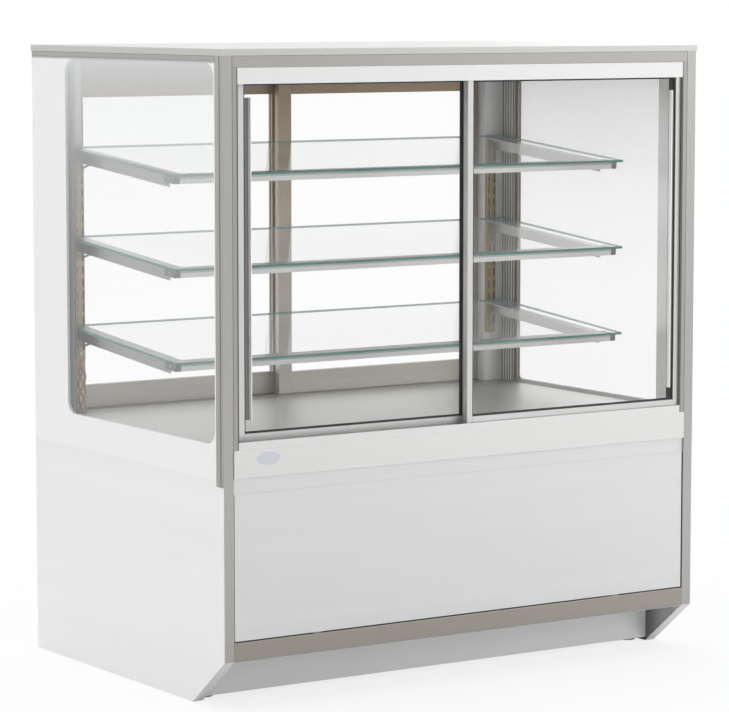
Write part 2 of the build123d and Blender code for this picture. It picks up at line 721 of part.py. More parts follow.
def bar_end_cap(level):
    """Right end cap of a light bar."""
    end = bar_span()[1]
    y = (BAR_SETBACK, BAR_SETBACK + BAR_DEPTH)
    z = (-SHELF_GLASS - BAR_HEIGHT, -SHELF_GLASS)
    return on_shelf(level) * block((end, end + END_CAP), y, z)


def swept_lead(points, bend):
    """A round lead along straight runs with rounded corners."""
    path = FilletPolyline(*points, radius=bend)
    start = Plane(points[0], z_dir=path % 0)
    return sweep(start * Circle(LEAD_DIAMETER / 2), path=path)


def lead_row():
    """How far from the middle of the case a lead goes into a standard."""
    wall = STANDARD_X - STANDARD_WIDTH / 2 + STANDARD_WALL
    return wall + LEAD_GAP + LEAD_DIAMETER / 2


def lead_entry_height(level):
    """Height at which a shelf's lead goes into the standard."""
    return hook_height(level) - SLOT_PITCH


def under_flange(level, y):
    """Height of a lead that lies under a shelf arm's flange."""
    top = shelf_height(level) + (y - SHELF_FRONT) * SLOPE
    return top - (SHELF_GLASS + ARM_SHEET + LEAD_GAP + LEAD_DIAMETER / 2) / SLANT


def lead_to_standard(level):
    """A shelf lead's run from its light bar to just below the left standard."""
    row = -lead_row()
    bar_back = SHELF_FRONT + (BAR_SETBACK + BAR_DEPTH) * SLANT + 2 * LEAD_GAP
    bar_back += (SHELF_GLASS + ARM_SHEET + LEAD_DIAMETER) * SLOPE
    hang = STANDARD_FACE - LEAD_HANG
    entry = lead_entry_height(level)
    inside = (STANDARD_FACE + STANDARD_WALL + JAMB_FRONT) / 2
    own_x = row - level * LEAD_SPACING
    bottom = hook_height(0) - SPARE_SLOTS_BELOW * SLOT_PITCH - STANDARD_TAIL - LEAD_TAIL
    points = [
        (row, bar_back, under_flange(level, bar_back)),
        (row, hang, under_flange(level, hang)),
        (row, STANDARD_FACE - LEAD_ENTRY, entry),
        (row, inside, entry),
    ]
    if level > 0:
        points.append((own_x, inside, entry - LEAD_SHIFT_DROP))
    points.append((own_x, inside, bottom))
    return FilletPolyline(*points, radius=LEAD_TIGHT_BEND)


def lead_twist(level):
    """A shelf lead's turn round the others, between the standard and the deck."""
    at = Pos(-STANDARD_X, TWIST_Y, DECK_TOP + TWIST_RISE)
    turned = Rot(0, 0, TWIST_START + 360 / SHELF_COUNT * level)
    return at * turned * Helix(TWIST_PITCH, TWIST_HEIGHT, TWIST_RADIUS)


def lead_to_driver(level, start):
    """A shelf lead's run from under the deck to the side of the lamp driver."""
    side = SERVICE_X - DRIVER_LENGTH / 2 - LEAD_GAP
    height = TOE_HEIGHT + LEAD_FLOOR_GAP + (-level % SHELF_COUNT) * LEAD_STEP
    points = [start, (start.X, start.Y, height), (side, start.Y, height)]
    return FilletPolyline(*points, radius=LEAD_BEND)


def eased(start, start_way, end, end_way):
    """A smooth curve between two points that leaves and arrives the ways given."""
    return Bezier(start, start + start_way * TWIST_EASE, end - end_way * TWIST_EASE, end)


def shelf_lead(level):
    """A whole lead: light bar, arm, standard, twist, deck and driver."""
    upper = lead_to_standard(level)
    twist = lead_twist(level)
    down = Vector(0, 0, -1)
    into_twist = eased(upper @ 1, down, twist @ 1, (twist % 1) * -1)
    below = (twist @ 0) + down * (2 * TWIST_RISE)
    out_of_twist = eased(twist @ 0, (twist % 0) * -1, below, down)
    lower = lead_to_driver(level, below)
    parts = [*upper.edges(), into_twist, twist, out_of_twist, *lower.edges()]
    path = Wire([edge for part in parts for edge in part.edges()])
    start = Plane(upper @ 0, z_dir=upper % 0)
    return sweep(start * Circle(LEAD_DIAMETER / 2), path=path)


def header_lamp():
    """The lamp housing behind the front header."""
    end = INNER - JAMB_FACE - JAMB_STEP - LAMP_END_GAP
    span = (-end, end)
    y = (SILL_BACK, SILL_BACK + LAMP_DEPTH)
    z = (FRAME_TOP - LAMP_HEIGHT, FRAME_TOP)
    bore = block(
        span, (y[0] + SHEET, y[1] - SHEET), (z[0] + SHEET, z[1] - SHEET)
    )
    return block(span, y, z) - bore


def header_lens():
    """The diffuser under the header lamp."""
    end = INNER - JAMB_FACE - JAMB_STEP - LAMP_END_GAP
    middle = SILL_BACK + LAMP_DEPTH / 2
    y = (middle - LAMP_LENS_DEPTH / 2, middle + LAMP_LENS_DEPTH / 2)
    top = FRAME_TOP - LAMP_HEIGHT
    return block((-end, end), y, (top - LAMP_LENS_HEIGHT, top))


def roller(x, track):
    """A flanged door roller with its axle, lying along Y."""
    centre = (x, track, roller_height())
    tread = RUNNER_WIDTH + 2 * ROLLER_SIDE_PLAY
    across = (0, 1, 0)
    wheel = rod(ROLLER_FLANGE, tread + 2 * FLANGE_WIDTH, centre, across)
    rim = rod(ROLLER_FLANGE, tread, centre, across)
    wheel = wheel - (rim - rod(ROLLER_TREAD, tread, centre, across))
    return wheel + rod(AXLE_RADIUS, DOOR_THICKNESS - EDGE, centre, across)


def roller_height():
    """Height of a roller's centre above the floor."""
    return RUNNER_TOP + ROLLER_LIFT + ROLLER_TREAD


def roller_places(low, high):
    """Where the two rollers of a door stand along X."""
    return (low + ROLLER_INSET, high - ROLLER_INSET)


def front_door(low, high, track):
    """A front door's frame bars, gasket and glass, between two ends in X."""
    y = (track - DOOR_THICKNESS / 2, track + DOOR_THICKNESS / 2)
    z = (DOOR_BOTTOM, DOOR_TOP)
    open_x = (low + DOOR_STILE, high - DOOR_STILE)
    open_z = DOOR_OPENING
    gasket_y = (track - GASKET_THICKNESS / 2, track + GASKET_THICKNESS / 2)
    glass_y = (track - DOOR_GLASS / 2, track + DOOR_GLASS / 2)
    groove = ring(open_x, open_z, gasket_y, GASKET_GROOVE)
    glass = ring(open_x, open_z, glass_y, GASKET_GROOVE - GLASS_SETBACK)
    gasket = groove - ring(open_x, open_z, gasket_y, -GASKET_LIP) - glass
    stiles = [block((low, open_x[0]), y, z), block((open_x[1], high), y, z)]
    stiles = [fillet(s.edges().filter_by(Axis.Z), EDGE) - groove for s in stiles]
    top = block(open_x, y, (open_z[1], z[1])) - groove
    bottom = block(open_x, y, (z[0], open_z[0])) - groove
    for x in roller_places(low, high):
        bottom -= roller_pocket(x, track)
    return [*stiles, top, bottom], gasket, glass


def roller_pocket(x, track):
    """The room a roller turns in, with its axle hole through both walls."""
    reach = ROLLER_FLANGE + POCKET_PLAY
    half = RUNNER_WIDTH / 2 + ROLLER_SIDE_PLAY + FLANGE_WIDTH + POCKET_PLAY / 2
    y = (track - half, track + half)
    z = (DOOR_BOTTOM - reach, roller_height() + reach)
    hole = rod(
        AXLE_RADIUS + AXLE_PLAY, 2 * DOOR_THICKNESS, (x, track, roller_height()), (0, 1, 0)
    )
    return block((x - reach, x + reach), y, z) + hole


def door_pull(stile_edge, inward, track):
    """A long edge pull on the glass beside a stile: a base with one raised lip."""
    face = track - DOOR_GLASS / 2
    front = track - DOOR_THICKNESS / 2 - PULL_STAND
    z = (DOOR_OPENING[0] + PULL_MARGIN, DOOR_OPENING[1] - PULL_MARGIN)
    start = stile_edge + inward * GASKET_LIP
    end = start + inward * PULL_WIDTH
    lip = end - inward * PULL_LIP
    base = block(sorted((start, end)), (face - PULL_BASE, face), z)
    return base + block(sorted((lip, end)), (front, face), z)


def rear_door(low, high, track, cup_x):
    """A rear door's four bars and its glass. The stile near cup_x has a finger cup."""
    y = (track - REAR_DOOR_THICKNESS / 2, track + REAR_DOOR_THICKNESS / 2)
    z = (REAR_TRACK_Z + REAR_GLIDE_GAP, rear_door_top())
    open_x = (low + REAR_STILE, high - REAR_STILE)
    open_z = (z[0] + REAR_BOTTOM_BAR, z[1] - REAR_TOP_BAR)
    glass_y = (track - REAR_GLASS / 2, track + REAR_GLASS / 2)
    glass = ring(open_x, open_z, glass_y, REAR_GLASS_GROOVE)
    stiles = [block((low, open_x[0]), y, z), block((open_x[1], high), y, z)]
    stiles = [fillet(s.edges().filter_by(Axis.Z), EDGE) - glass for s in stiles]
    middle = (z[0] + z[1]) / 2
    cup = block(
        (cup_x - CUP_WIDTH / 2, cup_x + CUP_WIDTH / 2),
        (y[1] - CUP_DEPTH, y[1]),
        (middle - CUP_HEIGHT / 2, middle + CUP_HEIGHT / 2),
    )
    stiles = [s - cup for s in stiles]
    top = block(open_x, y, (open_z[1], z[1])) - glass
    bottom = block(open_x, y, (z[0], open_z[0])) - glass
    groove = z[0] + REAR_RAIL_GROOVE_RISE
    bottom -= block(open_x, (y[0], y[0] + EDGE), (groove, groove + REAR_RAIL_GROOVE))
    return [*stiles, top, bottom], glass


def rear_door_top():
    """Height of the top edge of the rear doors."""
    return FRAME_TOP - REAR_HEADER_HEIGHT + REAR_TOP_ENTRY


def rear_track_fins():
    """The three fins that keep the rear doors in their tracks, as spans in Y."""
    half = REAR_DOOR_THICKNESS / 2
    between = (REAR_INNER_TRACK + REAR_OUTER_TRACK) / 2
    first = REAR_SILL_FRONT
    last = REAR_OUTER_TRACK + half + REAR_FIN
    return [(y, y + REAR_FIN) for y in (first, between - REAR_FIN / 2, last)]


def rear_sill():
    """The double track and ledge under the rear doors."""
    x = (-REAR_JAMB_FACE, REAR_JAMB_FACE)
    floor = (REAR_TRACK_Z - REAR_TRACK_FLOOR, REAR_TRACK_Z)
    sill = block(x, (REAR_SILL_FRONT, BACK), floor)
    for y in (REAR_SILL_FRONT, BACK - SHEET):
        sill += block(x, (y, y + SHEET), (END_PANEL_HEIGHT, floor[1]))
    for y in rear_track_fins():
        sill += block(x, y, (floor[1], floor[1] + REAR_FIN_HEIGHT))
    return sill


def rear_header():
    """The channel over the rear doors, with the same three fins."""
    x = (-REAR_JAMB_FACE, REAR_JAMB_FACE)
    z = (FRAME_TOP - REAR_HEADER_HEIGHT, FRAME_TOP)
    header = block(x, (REAR_SILL_FRONT, BACK), (FRAME_TOP - HEADER_WALL, FRAME_TOP))
    for y in rear_track_fins():
        header += block(x, y, z)
    return header + block(x, (BACK - HEADER_WALL, BACK), z)


def rear_panel():
    """The lift-off lower back panel, cut for the inlet, the switch and its screws."""
    y = (REAR_PANEL_Y - SHEET, REAR_PANEL_Y)
    z = (TOE_HEIGHT, END_PANEL_HEIGHT)
    panel = block((-INNER, INNER), y, z)
    fold_y = (REAR_PANEL_Y - PANEL_RETURN, REAR_PANEL_Y)
    panel += block((-INNER, INNER), fold_y, (z[1] - SHEET, z[1]))
    panel += block((-INNER, INNER), fold_y, (z[0], z[0] + SHEET))
    panel -= block(*service_room(SERVICE_X, INLET_WIDTH, INLET_HEIGHT))
    panel -= block(*service_room(SERVICE_X - SWITCH_OFFSET, SWITCH_WIDTH, SWITCH_HEIGHT))
    for x, z_at in screw_places():
        panel -= rod(SCREW_RADIUS + SCREW_PLAY, DEPTH, (x, BACK, z_at), (0, 1, 0)) & block(
            (x - SCREW_HEAD, x + SCREW_HEAD), y, z
        )
    return panel


def service_room(x, width, height):
    """The spans of a cut-out in the back panel, centred at x on the service line."""
    return (
        (x - width / 2, x + width / 2),
        (REAR_PANEL_Y - SHEET, REAR_PANEL_Y),
        (SERVICE_Z - height / 2, SERVICE_Z + height / 2),
    )


def screw_places():
    """Where the back panel's screws stand, as X and Z."""
    places = []
    for z in (TOE_HEIGHT + SCREW_INSET, END_PANEL_HEIGHT - SCREW_INSET):
        for x in (SCREW_INSET - INNER, 0, INNER - SCREW_INSET):
            places.append((x, z))
    return places


def screw(x, y, z, way, length):
    """A pan-head screw along Y whose head stands on the face at y, on the side of way."""
    head_at = (x, y + way * SCREW_HEAD_HEIGHT / 2, z)
    shank_at = (x, y - way * length / 2, z)
    head = rod(SCREW_HEAD, SCREW_HEAD_HEIGHT, head_at, (0, way, 0))
    head = fillet(head.edges().sort_by(Axis.Y)[-1 if way > 0 else 0], EDGE)
    return head + rod(SCREW_RADIUS, length, shank_at, (0, way, 0))


def screws():
    """The pan-head screws of the back panel and the short ones at the standards' feet."""
    made = [screw(x, REAR_PANEL_Y, z, 1, SCREW_LENGTH) for x, z in screw_places()]
    for x in (-STANDARD_X, STANDARD_X):
        made.append(screw(x, STANDARD_FACE, standard_screw_height(), -1, STANDARD_WALL))
    return made


def power_inlet():
    """A three-contact mains inlet: a flanged body with an open socket."""
    x, y, z = service_room(SERVICE_X, INLET_WIDTH, INLET_HEIGHT)
    body = block(x, (REAR_PANEL_Y - INLET_BODY, REAR_PANEL_Y), z)
    flange_x = (x[0] - INLET_FLANGE, x[1] + INLET_FLANGE)
    flange_z = (z[0] - INLET_FLANGE / 2, z[1] + INLET_FLANGE / 2)
    face = REAR_PANEL_Y + FLANGE_SHEET
    body += block(flange_x, (REAR_PANEL_Y, face), flange_z)
    socket_x = (x[0] + SOCKET_WALL, x[1] - SOCKET_WALL)
    socket_z = (z[0] + SOCKET_WALL, z[1] - SOCKET_WALL)
    floor = face - SOCKET_DEPTH
    body -= block(socket_x, (floor, face), socket_z)
    for step in (-1, 0, 1):
        middle = SERVICE_X + step * CONTACT_PITCH
        contact_x = (middle - CONTACT_WIDTH / 2, middle + CONTACT_WIDTH / 2)
        contact_z = (SERVICE_Z - CONTACT_HEIGHT / 2, SERVICE_Z + CONTACT_HEIGHT / 2)
        body += block(contact_x, (floor, floor + CONTACT_LENGTH), contact_z)
    return body


def pivot_point():
    """The axis of the lamp switch's rocker."""
    return (SERVICE_X - SWITCH_OFFSET, REAR_PANEL_Y - PIVOT_DEPTH, SERVICE_Z)


def switch_housing():
    """The lamp switch's body: an open box with two pivot holes and a flange."""
    x, y, z = service_room(SERVICE_X - SWITCH_OFFSET, SWITCH_WIDTH, SWITCH_HEIGHT)
    body = block(x, (REAR_PANEL_Y - SWITCH_BODY, REAR_PANEL_Y), z)
    face = REAR_PANEL_Y + FLANGE_SHEET
    flange_x = (x[0] - SWITCH_WALL, x[1] + SWITCH_WALL)
    body += block(flange_x, (REAR_PANEL_Y, face), (z[0] - SWITCH_WALL, z[1] + SWITCH_WALL))
    room_x = (x[0] + SWITCH_WALL, x[1] - SWITCH_WALL)
    room_z = (z[0] + SWITCH_WALL, z[1] - SWITCH_WALL)
    body -= block(room_x, (REAR_PANEL_Y - SWITCH_BODY + SWITCH_WALL, face), room_z)
    return body - rod(PIVOT_RADIUS + PIVOT_PLAY, SWITCH_WIDTH, pivot_point(), (1, 0, 0))


def switch_rocker():
    """The rocker, at rest with its lower half pressed in, on its pivot pin."""
    x, y, z = pivot_point()
    half_x = SWITCH_WIDTH / 2 - SWITCH_WALL - ROCKER_GAP
    reach = SWITCH_HEIGHT / 2 - SWITCH_WALL - ROCKER_GAP
    reach = reach * math.cos(math.radians(ROCKER_TILT)) - ROCKER_GAP
    drum = rod(ROCKER_RADIUS, 2 * half_x, (0, ROCKER_RADIUS + PIVOT_DEPTH, 0), (1, 0, 0))
    front = PIVOT_DEPTH + FLANGE_SHEET + ROCKER_GAP
    paddle = block((-half_x, half_x), (-PIVOT_RADIUS * 2, front), (-reach, reach))
    paddle = paddle - drum
    pin = rod(PIVOT_RADIUS, SWITCH_WIDTH - SHEET, (0, 0, 0), (1, 0, 0))
    return Pos(x, y, z) * Rot(-ROCKER_TILT, 0, 0) * (paddle + pin)


def driver_box():
    """The lamp driver on the cabinet floor, under a folded cover."""
    x = (SERVICE_X - DRIVER_LENGTH / 2, SERVICE_X + DRIVER_LENGTH / 2)
    rear = REAR_PANEL_Y - DRIVER_SETBACK
    y = (rear - DRIVER_DEPTH, rear)
    z = (TOE_HEIGHT, TOE_HEIGHT + DRIVER_HEIGHT)
    room = block(
        (x[0] + SHEET, x[1] - SHEET), (y[0] + SHEET, y[1] - SHEET), (z[0], z[1] - SHEET)
    )
    return block(x, y, z) - room


def supply_lead():
    """The inner lead from the inlet down to the lamp driver."""
    rear = REAR_PANEL_Y - INLET_BODY
    turn = REAR_PANEL_Y - DRIVER_SETBACK - DRIVER_DEPTH / 2
    points = [
        (SERVICE_X, rear, SERVICE_Z),
        (SERVICE_X, turn, SERVICE_Z),
        (SERVICE_X, turn, TOE_HEIGHT + DRIVER_HEIGHT),
    ]
    return swept_lead(points, LEAD_BEND)


def save_cabinet():
    """Writes the fixed sheet-metal and glazed pieces."""
    for name, part in (("end_panel", end_panel()), ("corner_post", corner_post())):
        save(name + "_right", part)
        save(name + "_left", mirrored(part))
    for name, part in (("end_frame", end_frame()), ("end_glass", window(0, BORDER_THICKNESS))):
        save(name + "_right", part)
        save(name + "_left", mirrored(part))
    save("lower_posts", lower_post(), mirrored(lower_post()))
    save("end_seals", end_seal(), mirrored(end_seal()))
    save("front_rail", front_rail())
    save("kick_plate", kick_plate())
    save("base_frame", *frame_bars())
    save("levelling_feet", *levelling_feet())
    save("base_floor", base_floor())
    save("front_panel", front_panel())
    save("trim_strip", trim_strip())
    save("sill_nose", sill_nose())
    save("badge_plate", badge(FRONT - CAP_OVERHANG, BADGE_SINK))
    save("front_door_sill", front_sill())
    save("front_jambs", front_jamb(), mirrored(front_jamb()))
    save("front_header", front_header())
    save("top_rails", *top_rails())
    save("top_panel", top_panel())
    save("deck", deck())
    save("rear_door_sill", rear_sill())
    save("rear_header", rear_header())
    save("rear_panel", rear_panel())
    save("panel_screws", *screws())


def save_shelves():
    """Writes the shelves, what carries them and their lamps."""
    levels = range(SHELF_COUNT)
    for level, name in enumerate(("bottom", "middle", "top")):
        save("shelf_glass_" + name, shelf_glass(level))
    arms = [arm(level) for level in levels]
    caps = [bar_end_cap(level) for level in levels]
    save("shelf_standards", standard(), mirrored(standard()))
    save("shelf_arms", *arms, *[mirrored(a) for a in arms])
    save("shelf_light_bars", *[light_bar(level) for level in levels])
    save("shelf_light_lenses", *[bar_lens(level) for level in levels])
    save("shelf_light_end_caps", *caps, *[mirrored(c) for c in caps])
    save("lamp_leads", supply_lead(), *[shelf_lead(level) for level in levels])
    save("header_lamp", header_lamp())
    save("header_lamp_lens", header_lens())


def save_electrics():
    """Writes what is in the base."""
    save("driver_box", driver_box())
    save("power_inlet", power_inlet())
    save("switch_housing", switch_housing())
    save("switch_rocker", switch_rocker())


def save_front_doors():
    """Writes the left door in the inner track and the right door in the outer one."""
    left = (LEFT_DOOR_X, LEFT_DOOR_X + DOOR_WIDTH)
    right = (RIGHT_DOOR_X - DOOR_WIDTH, RIGHT_DOOR_X)
    pulls = {"left": (left[0] + DOOR_STILE, 1), "right": (right[1] - DOOR_STILE, -1)}
    for side, ends, track in (("left", left, INNER_TRACK), ("right", right, OUTER_TRACK)):
        door = "front_" + side + "_door_"
        bars, gasket, glass = front_door(*ends, track)
        save(door + "frame", *bars)
        save(door + "gasket", gasket)
        save(door + "glass", glass)
        save(door + "pull", door_pull(*pulls[side], track))
        for name, x in zip(("roller_a", "roller_b"), roller_places(*ends)):
            save(door + name, roller(x, track))


def save_rear_doors():
    """Writes the left door in the outer rear track and the right one in the inner."""
    reach = REAR_JAMB_FACE - DOOR_END_GAP
    lap = REAR_STILE / 2
    cup = reach - REAR_STILE / 2
    bars, glass = rear_door(-reach, lap, REAR_OUTER_TRACK, -cup)
    save("rear_left_door_frame", *bars)
    save("rear_left_door_glass", glass)
    bars, glass = rear_door(-lap, reach, REAR_INNER_TRACK, cup)
    save("rear_right_door_frame", *bars)
    save("rear_right_door_glass", glass)


os.makedirs("parts", exist_ok=True)
save_cabinet()
save_shelves()
save_electrics()
save_front_doors()
save_rear_doors()
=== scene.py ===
"""Self-service bakery case: finishes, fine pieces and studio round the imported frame."""

import math

import bpy
from mathutils import Euler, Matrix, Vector


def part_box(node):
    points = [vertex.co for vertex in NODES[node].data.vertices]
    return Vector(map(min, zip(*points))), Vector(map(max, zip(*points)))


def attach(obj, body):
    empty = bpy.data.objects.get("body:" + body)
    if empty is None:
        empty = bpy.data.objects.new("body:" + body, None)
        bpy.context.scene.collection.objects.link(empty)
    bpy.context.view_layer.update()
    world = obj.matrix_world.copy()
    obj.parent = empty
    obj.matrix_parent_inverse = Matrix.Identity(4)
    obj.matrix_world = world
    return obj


bl_info = {
    "name": "Bakery Case Dresser",
    "version": (1, 0, 0),
    "blender": (4, 5, 0),
    "location": "3D View > Sidebar > Bakery Case",
    "description": "Gives a self-service bakery case its finishes and small fittings",
    "category": "Object",
}

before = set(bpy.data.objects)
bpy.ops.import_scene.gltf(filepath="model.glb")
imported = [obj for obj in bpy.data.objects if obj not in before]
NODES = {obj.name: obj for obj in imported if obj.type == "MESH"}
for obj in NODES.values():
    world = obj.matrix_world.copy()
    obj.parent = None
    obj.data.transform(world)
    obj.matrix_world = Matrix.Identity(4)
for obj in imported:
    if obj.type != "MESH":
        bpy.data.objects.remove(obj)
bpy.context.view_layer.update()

# Photograph: its width in pixels and the focal length that matches its perspective
PHOTO_WIDTH = 729
FOCAL_PIXELS = 3252
SENSOR_WIDTH = 36.0

# Which way the metal was brushed, as the stretch of its grain along X, Y and Z
ALONG_X = (0.02, 1.0, 1.0)
ALONG_Y = (1.0, 0.02, 1.0)
ALONG_Z = (1.0, 1.0, 0.02)

# Brushed metal: its fine grain, and the broader streaks that vary its tone
GRAIN_SCALE = 260.0
GRAIN_DEPTH = 0.0003
GRAIN_STRENGTH = 0.25
GRAIN_GLOSS = 0.14
STREAK_SCALE = 18.0
STREAK_TONE = 0.93

# Glass: how soon it reflects at a slant, its gloss, and how much a polished edge hides
SLANT_BLEND = 0.3
PANE_ROUGHNESS = 0.03
SHELF_ROUGHNESS = 0.05
EDGE_HIDES = 0.92

# How squarely a face looks one way before it counts, and how far outward before it is outer
SQUARE_ON = 0.5
OUTER = 0.1

# Metres: how far before the posts' backs the jambs turn bright, and the deck's gap to the columns
JAMB_STEP = 0.02
DECK_GAP = 0.003

# Studio lamps: size, place and the point each looks at, in metres
KEY_SIZE = 1.6
KEY_PLACE = (1.7, -3.1, 1.2)
KEY_TARGET = (0.3, -0.3, 0.7)
TOP_SIZE = 2.0
TOP_PLACE = (0.0, 0.0, 3.4)
TOP_TARGET = (0.0, 0.0, 0.0)

# Surroundings: the most that the light leans, and where the bright band at the right begins
LEAN_MOST = 0.45
FLARE_START = 0.58
FLARE_RISE = 10.0

# Floor: half its width in metres, and its own paint
FLOOR_REACH = 60.0
FLOOR_PAINT = (0.9, 0.9, 0.9, 1.0)
WHITE = (1.0, 1.0, 1.0, 1.0)

SHELVES = ("bottom", "middle", "top")
SIDES = {"left": -1, "right": 1}


def linear(channel):
    """One channel of a screen colour, 0 to 255, as linear light."""
    value = channel / 255
    return value / 12.92 if value <= 0.04045 else ((value + 0.055) / 1.055) ** 2.4


def screen(red, green, blue):
    """A screen colour as linear light."""
    return (linear(red), linear(green), linear(blue))


# Shader and geometry trees


class Socket:
    """One node socket, so that maths on it reads as an expression."""

    def __init__(self, tree, link):
        self.tree = tree
        self.link = link

    def _math(self, operation, *values):
        return self.tree.node("ShaderNodeMath", {"operation": operation}, *values)["Value"]

    def __add__(self, other):
        return self._math("ADD", self, other)

    __radd__ = __add__

    def __mul__(self, other):
        return self._math("MULTIPLY", self, other)

    __rmul__ = __mul__

    def __sub__(self, other):
        return self._math("SUBTRACT", self, other)

    def __rsub__(self, other):
        return self._math("SUBTRACT", other, self)

    def __gt__(self, other):
        return self._math("GREATER_THAN", self, other)

    def __lt__(self, other):
        return self._math("LESS_THAN", self, other)

    def __abs__(self):
        return self._math("ABSOLUTE", self)

    def most(self, other):
        """The larger of the two."""
        return self._math("MAXIMUM", self, other)

    def least(self, other):
        """The smaller of the two."""
        return self._math("MINIMUM", self, other)


class Tree:
    """A node tree that is filled by one method."""

    def __init__(self, tree):
        self.tree = tree
        self.tree.nodes.clear()

    def node(self, kind, settings=None, *values, **named):
        """Adds a node: its settings, then its inputs by order or name. Gives its outputs."""
        made = self.tree.nodes.new(kind)
        for key, value in (settings or {}).items():
            setattr(made, key, value)
        inputs = [slot for slot in made.inputs if slot.enabled]
        places = {slot.name.replace(" ", "_"): slot for slot in reversed(inputs)}
        filled = [*zip(inputs, values), *((places[name], value) for name, value in named.items())]
        for slot, value in filled:
            if isinstance(value, Socket):
                self.tree.links.new(value.link, slot)
            else:
                slot.default_value = value
        return {slot.name: Socket(self, slot) for slot in made.outputs if slot.enabled}


def finish(name, build, *tones, **values):
    """A material, made the first time it is asked for."""
    full_name = "case_" + name
    if full_name in bpy.data.materials:
        return bpy.data.materials[full_name]
    material = bpy.data.materials.new(full_name)
    material.use_nodes = True
    tree = Tree(material.node_tree)
    tree.node("ShaderNodeOutputMaterial", None, Surface=build(tree, *tones, **values))
    return material


def principled(tree, colour, **named):
    """The surface shader with one colour or a linked one."""
    base = colour if isinstance(colour, Socket) else (*colour, 1.0)
    return tree.node("ShaderNodeBsdfPrincipled", None, Base_Color=base, **named)["BSDF"]


def place_on(tree):
    """The object's own coordinates, as one vector."""
    return tree.node("ShaderNodeTexCoord")["Object"]


def surface(tree, output):
    """What the surface's own geometry gives: its normal, or whether it is a far face."""
    return tree.node("ShaderNodeNewGeometry")[output]


def axes_of(tree, vector):
    """The X, Y and Z of a vector."""
    return list(tree.node("ShaderNodeSeparateXYZ", None, vector).values())


def noise(tree, stretch, scale, detail):
    """Noise on the object's own coordinates, drawn out by a stretch."""
    moved = tree.node("ShaderNodeMapping", None, Vector=place_on(tree), Scale=stretch)["Vector"]
    return tree.node("ShaderNodeTexNoise", None, Vector=moved, Scale=scale, Detail=detail)["Fac"]


def blend(tree, factor, first, second):
    """A colour between two, by a factor that varies over the surface."""
    ends = [tone if isinstance(tone, Socket) else (*tone, 1.0) for tone in (first, second)]
    mixed = tree.node("ShaderNodeMix", {"data_type": "RGBA"}, factor, *ends)
    return mixed["Result"]


def rise_between(tree, bottom, top):
    """How far up a point is between two heights: 0 at the bottom and 1 at the top."""
    return (axes_of(tree, place_on(tree))[2] - bottom) * (1.0 / (top - bottom))


def brushed(tree, colour, roughness, grain, metallic=1.0):
    """Brushed metal: a fine grain that varies its gloss and its height."""
    lines = noise(tree, grain, GRAIN_SCALE, detail=3.0)
    streaks = noise(tree, grain, STREAK_SCALE, detail=2.0)
    dark = tuple(channel * STREAK_TONE for channel in colour)
    relief = tree.node(
        "ShaderNodeBump", None, Strength=GRAIN_STRENGTH, Distance=GRAIN_DEPTH, Height=lines
    )
    return principled(
        tree,
        blend(tree, streaks, dark, colour),
        Metallic=metallic,
        Roughness=lines * GRAIN_GLOSS + (roughness - GRAIN_GLOSS / 2),
        Normal=relief["Normal"],
    )


def even(tree, colour, roughness, metallic=0.0):
    """An even surface with no grain."""
    return principled(tree, colour, Metallic=metallic, Roughness=roughness)


def two_tone(tree, first, second, axis, limit, roughness, metallic):
    """One colour below a limit along an axis, and a second colour above it."""
    beyond = axes_of(tree, place_on(tree))[axis] > limit
    colour = blend(tree, beyond, first, second)
    return principled(tree, colour, Metallic=metallic, Roughness=roughness)


def jamb_steel(tree, front, inside, gap, step, edge, roughness, metallic):
    """Grey before a step in depth, bright beyond it, and a painted shadow along the opening's
    edge.
    """
    across, depth, _ = axes_of(tree, place_on(tree))
    forward = axes_of(tree, surface(tree, "Normal"))[1] < -SQUARE_ON
    steel = blend(tree, depth > step, front, inside)
    # A painted shadow on the forward faces' inner edges, where the gap to the door would be in
    # shade
    colour = blend(tree, (abs(across) < edge) * forward, steel, gap)
    return principled(tree, colour, Metallic=metallic, Roughness=roughness)


def graded(tree, low, high, bottom, top, roughness, metallic):
    """A colour that changes steadily from one height to another."""
    rise = rise_between(tree, bottom, top).most(0.0).least(1.0)
    colour = blend(tree, rise, low, high)
    return principled(tree, colour, Metallic=metallic, Roughness=roughness)


def outward(tree, outer, inner, roughness):
    """One colour on the faces that look away from the middle, and another on the rest."""
    normal = axes_of(tree, surface(tree, "Normal"))
    away = normal[0] * axes_of(tree, place_on(tree))[0] > OUTER
    return principled(tree, blend(tree, away, inner, outer), Roughness=roughness)


def haze(tree, clearness, gloss):
    """How much a glass face hides: more at a slant, and nothing on its far face."""
    slant = tree.node("ShaderNodeLayerWeight", None, Blend=SLANT_BLEND)["Fresnel"]
    return (slant * gloss + (1.0 - clearness)) * (1.0 - surface(tree, "Backfacing"))


def pane(tree, colour, clearness, gloss):
    """Flat clear glass that reflects more where it is seen at a slant."""
    return principled(tree, colour, Roughness=PANE_ROUGHNESS, Alpha=haze(tree, clearness, gloss))


def end_pane(tree, colour, clearness, gloss, bottom, top, veil):
    """Flat glass with a painted reflection that hides more of what is behind it towards its top.
    """
    rise = rise_between(tree, bottom, top)
    return pane(tree, colour, rise * rise * rise * -veil + clearness, gloss)


def shelf_pane(tree, face, edge, clearness, gloss):
    """Shelf glass: clear across its faces and green along its polished edges."""
    on_edge = abs(axes_of(tree, surface(tree, "Normal"))[2]) < SQUARE_ON
    alpha = haze(tree, clearness, gloss).most(on_edge * EDGE_HIDES)
    colour = blend(tree, on_edge, face, edge)
    return principled(tree, colour, Roughness=SHELF_ROUGHNESS, Alpha=alpha)


def diffuser(tree, colour, roughness, glow):
    """Opal plastic over a lamp that is off, with a faint painted glow."""
    light = (*colour, 1.0)
    return principled(
        tree, colour, Roughness=roughness, Emission_Color=light, Emission_Strength=glow
    )


# Settings that a user would change


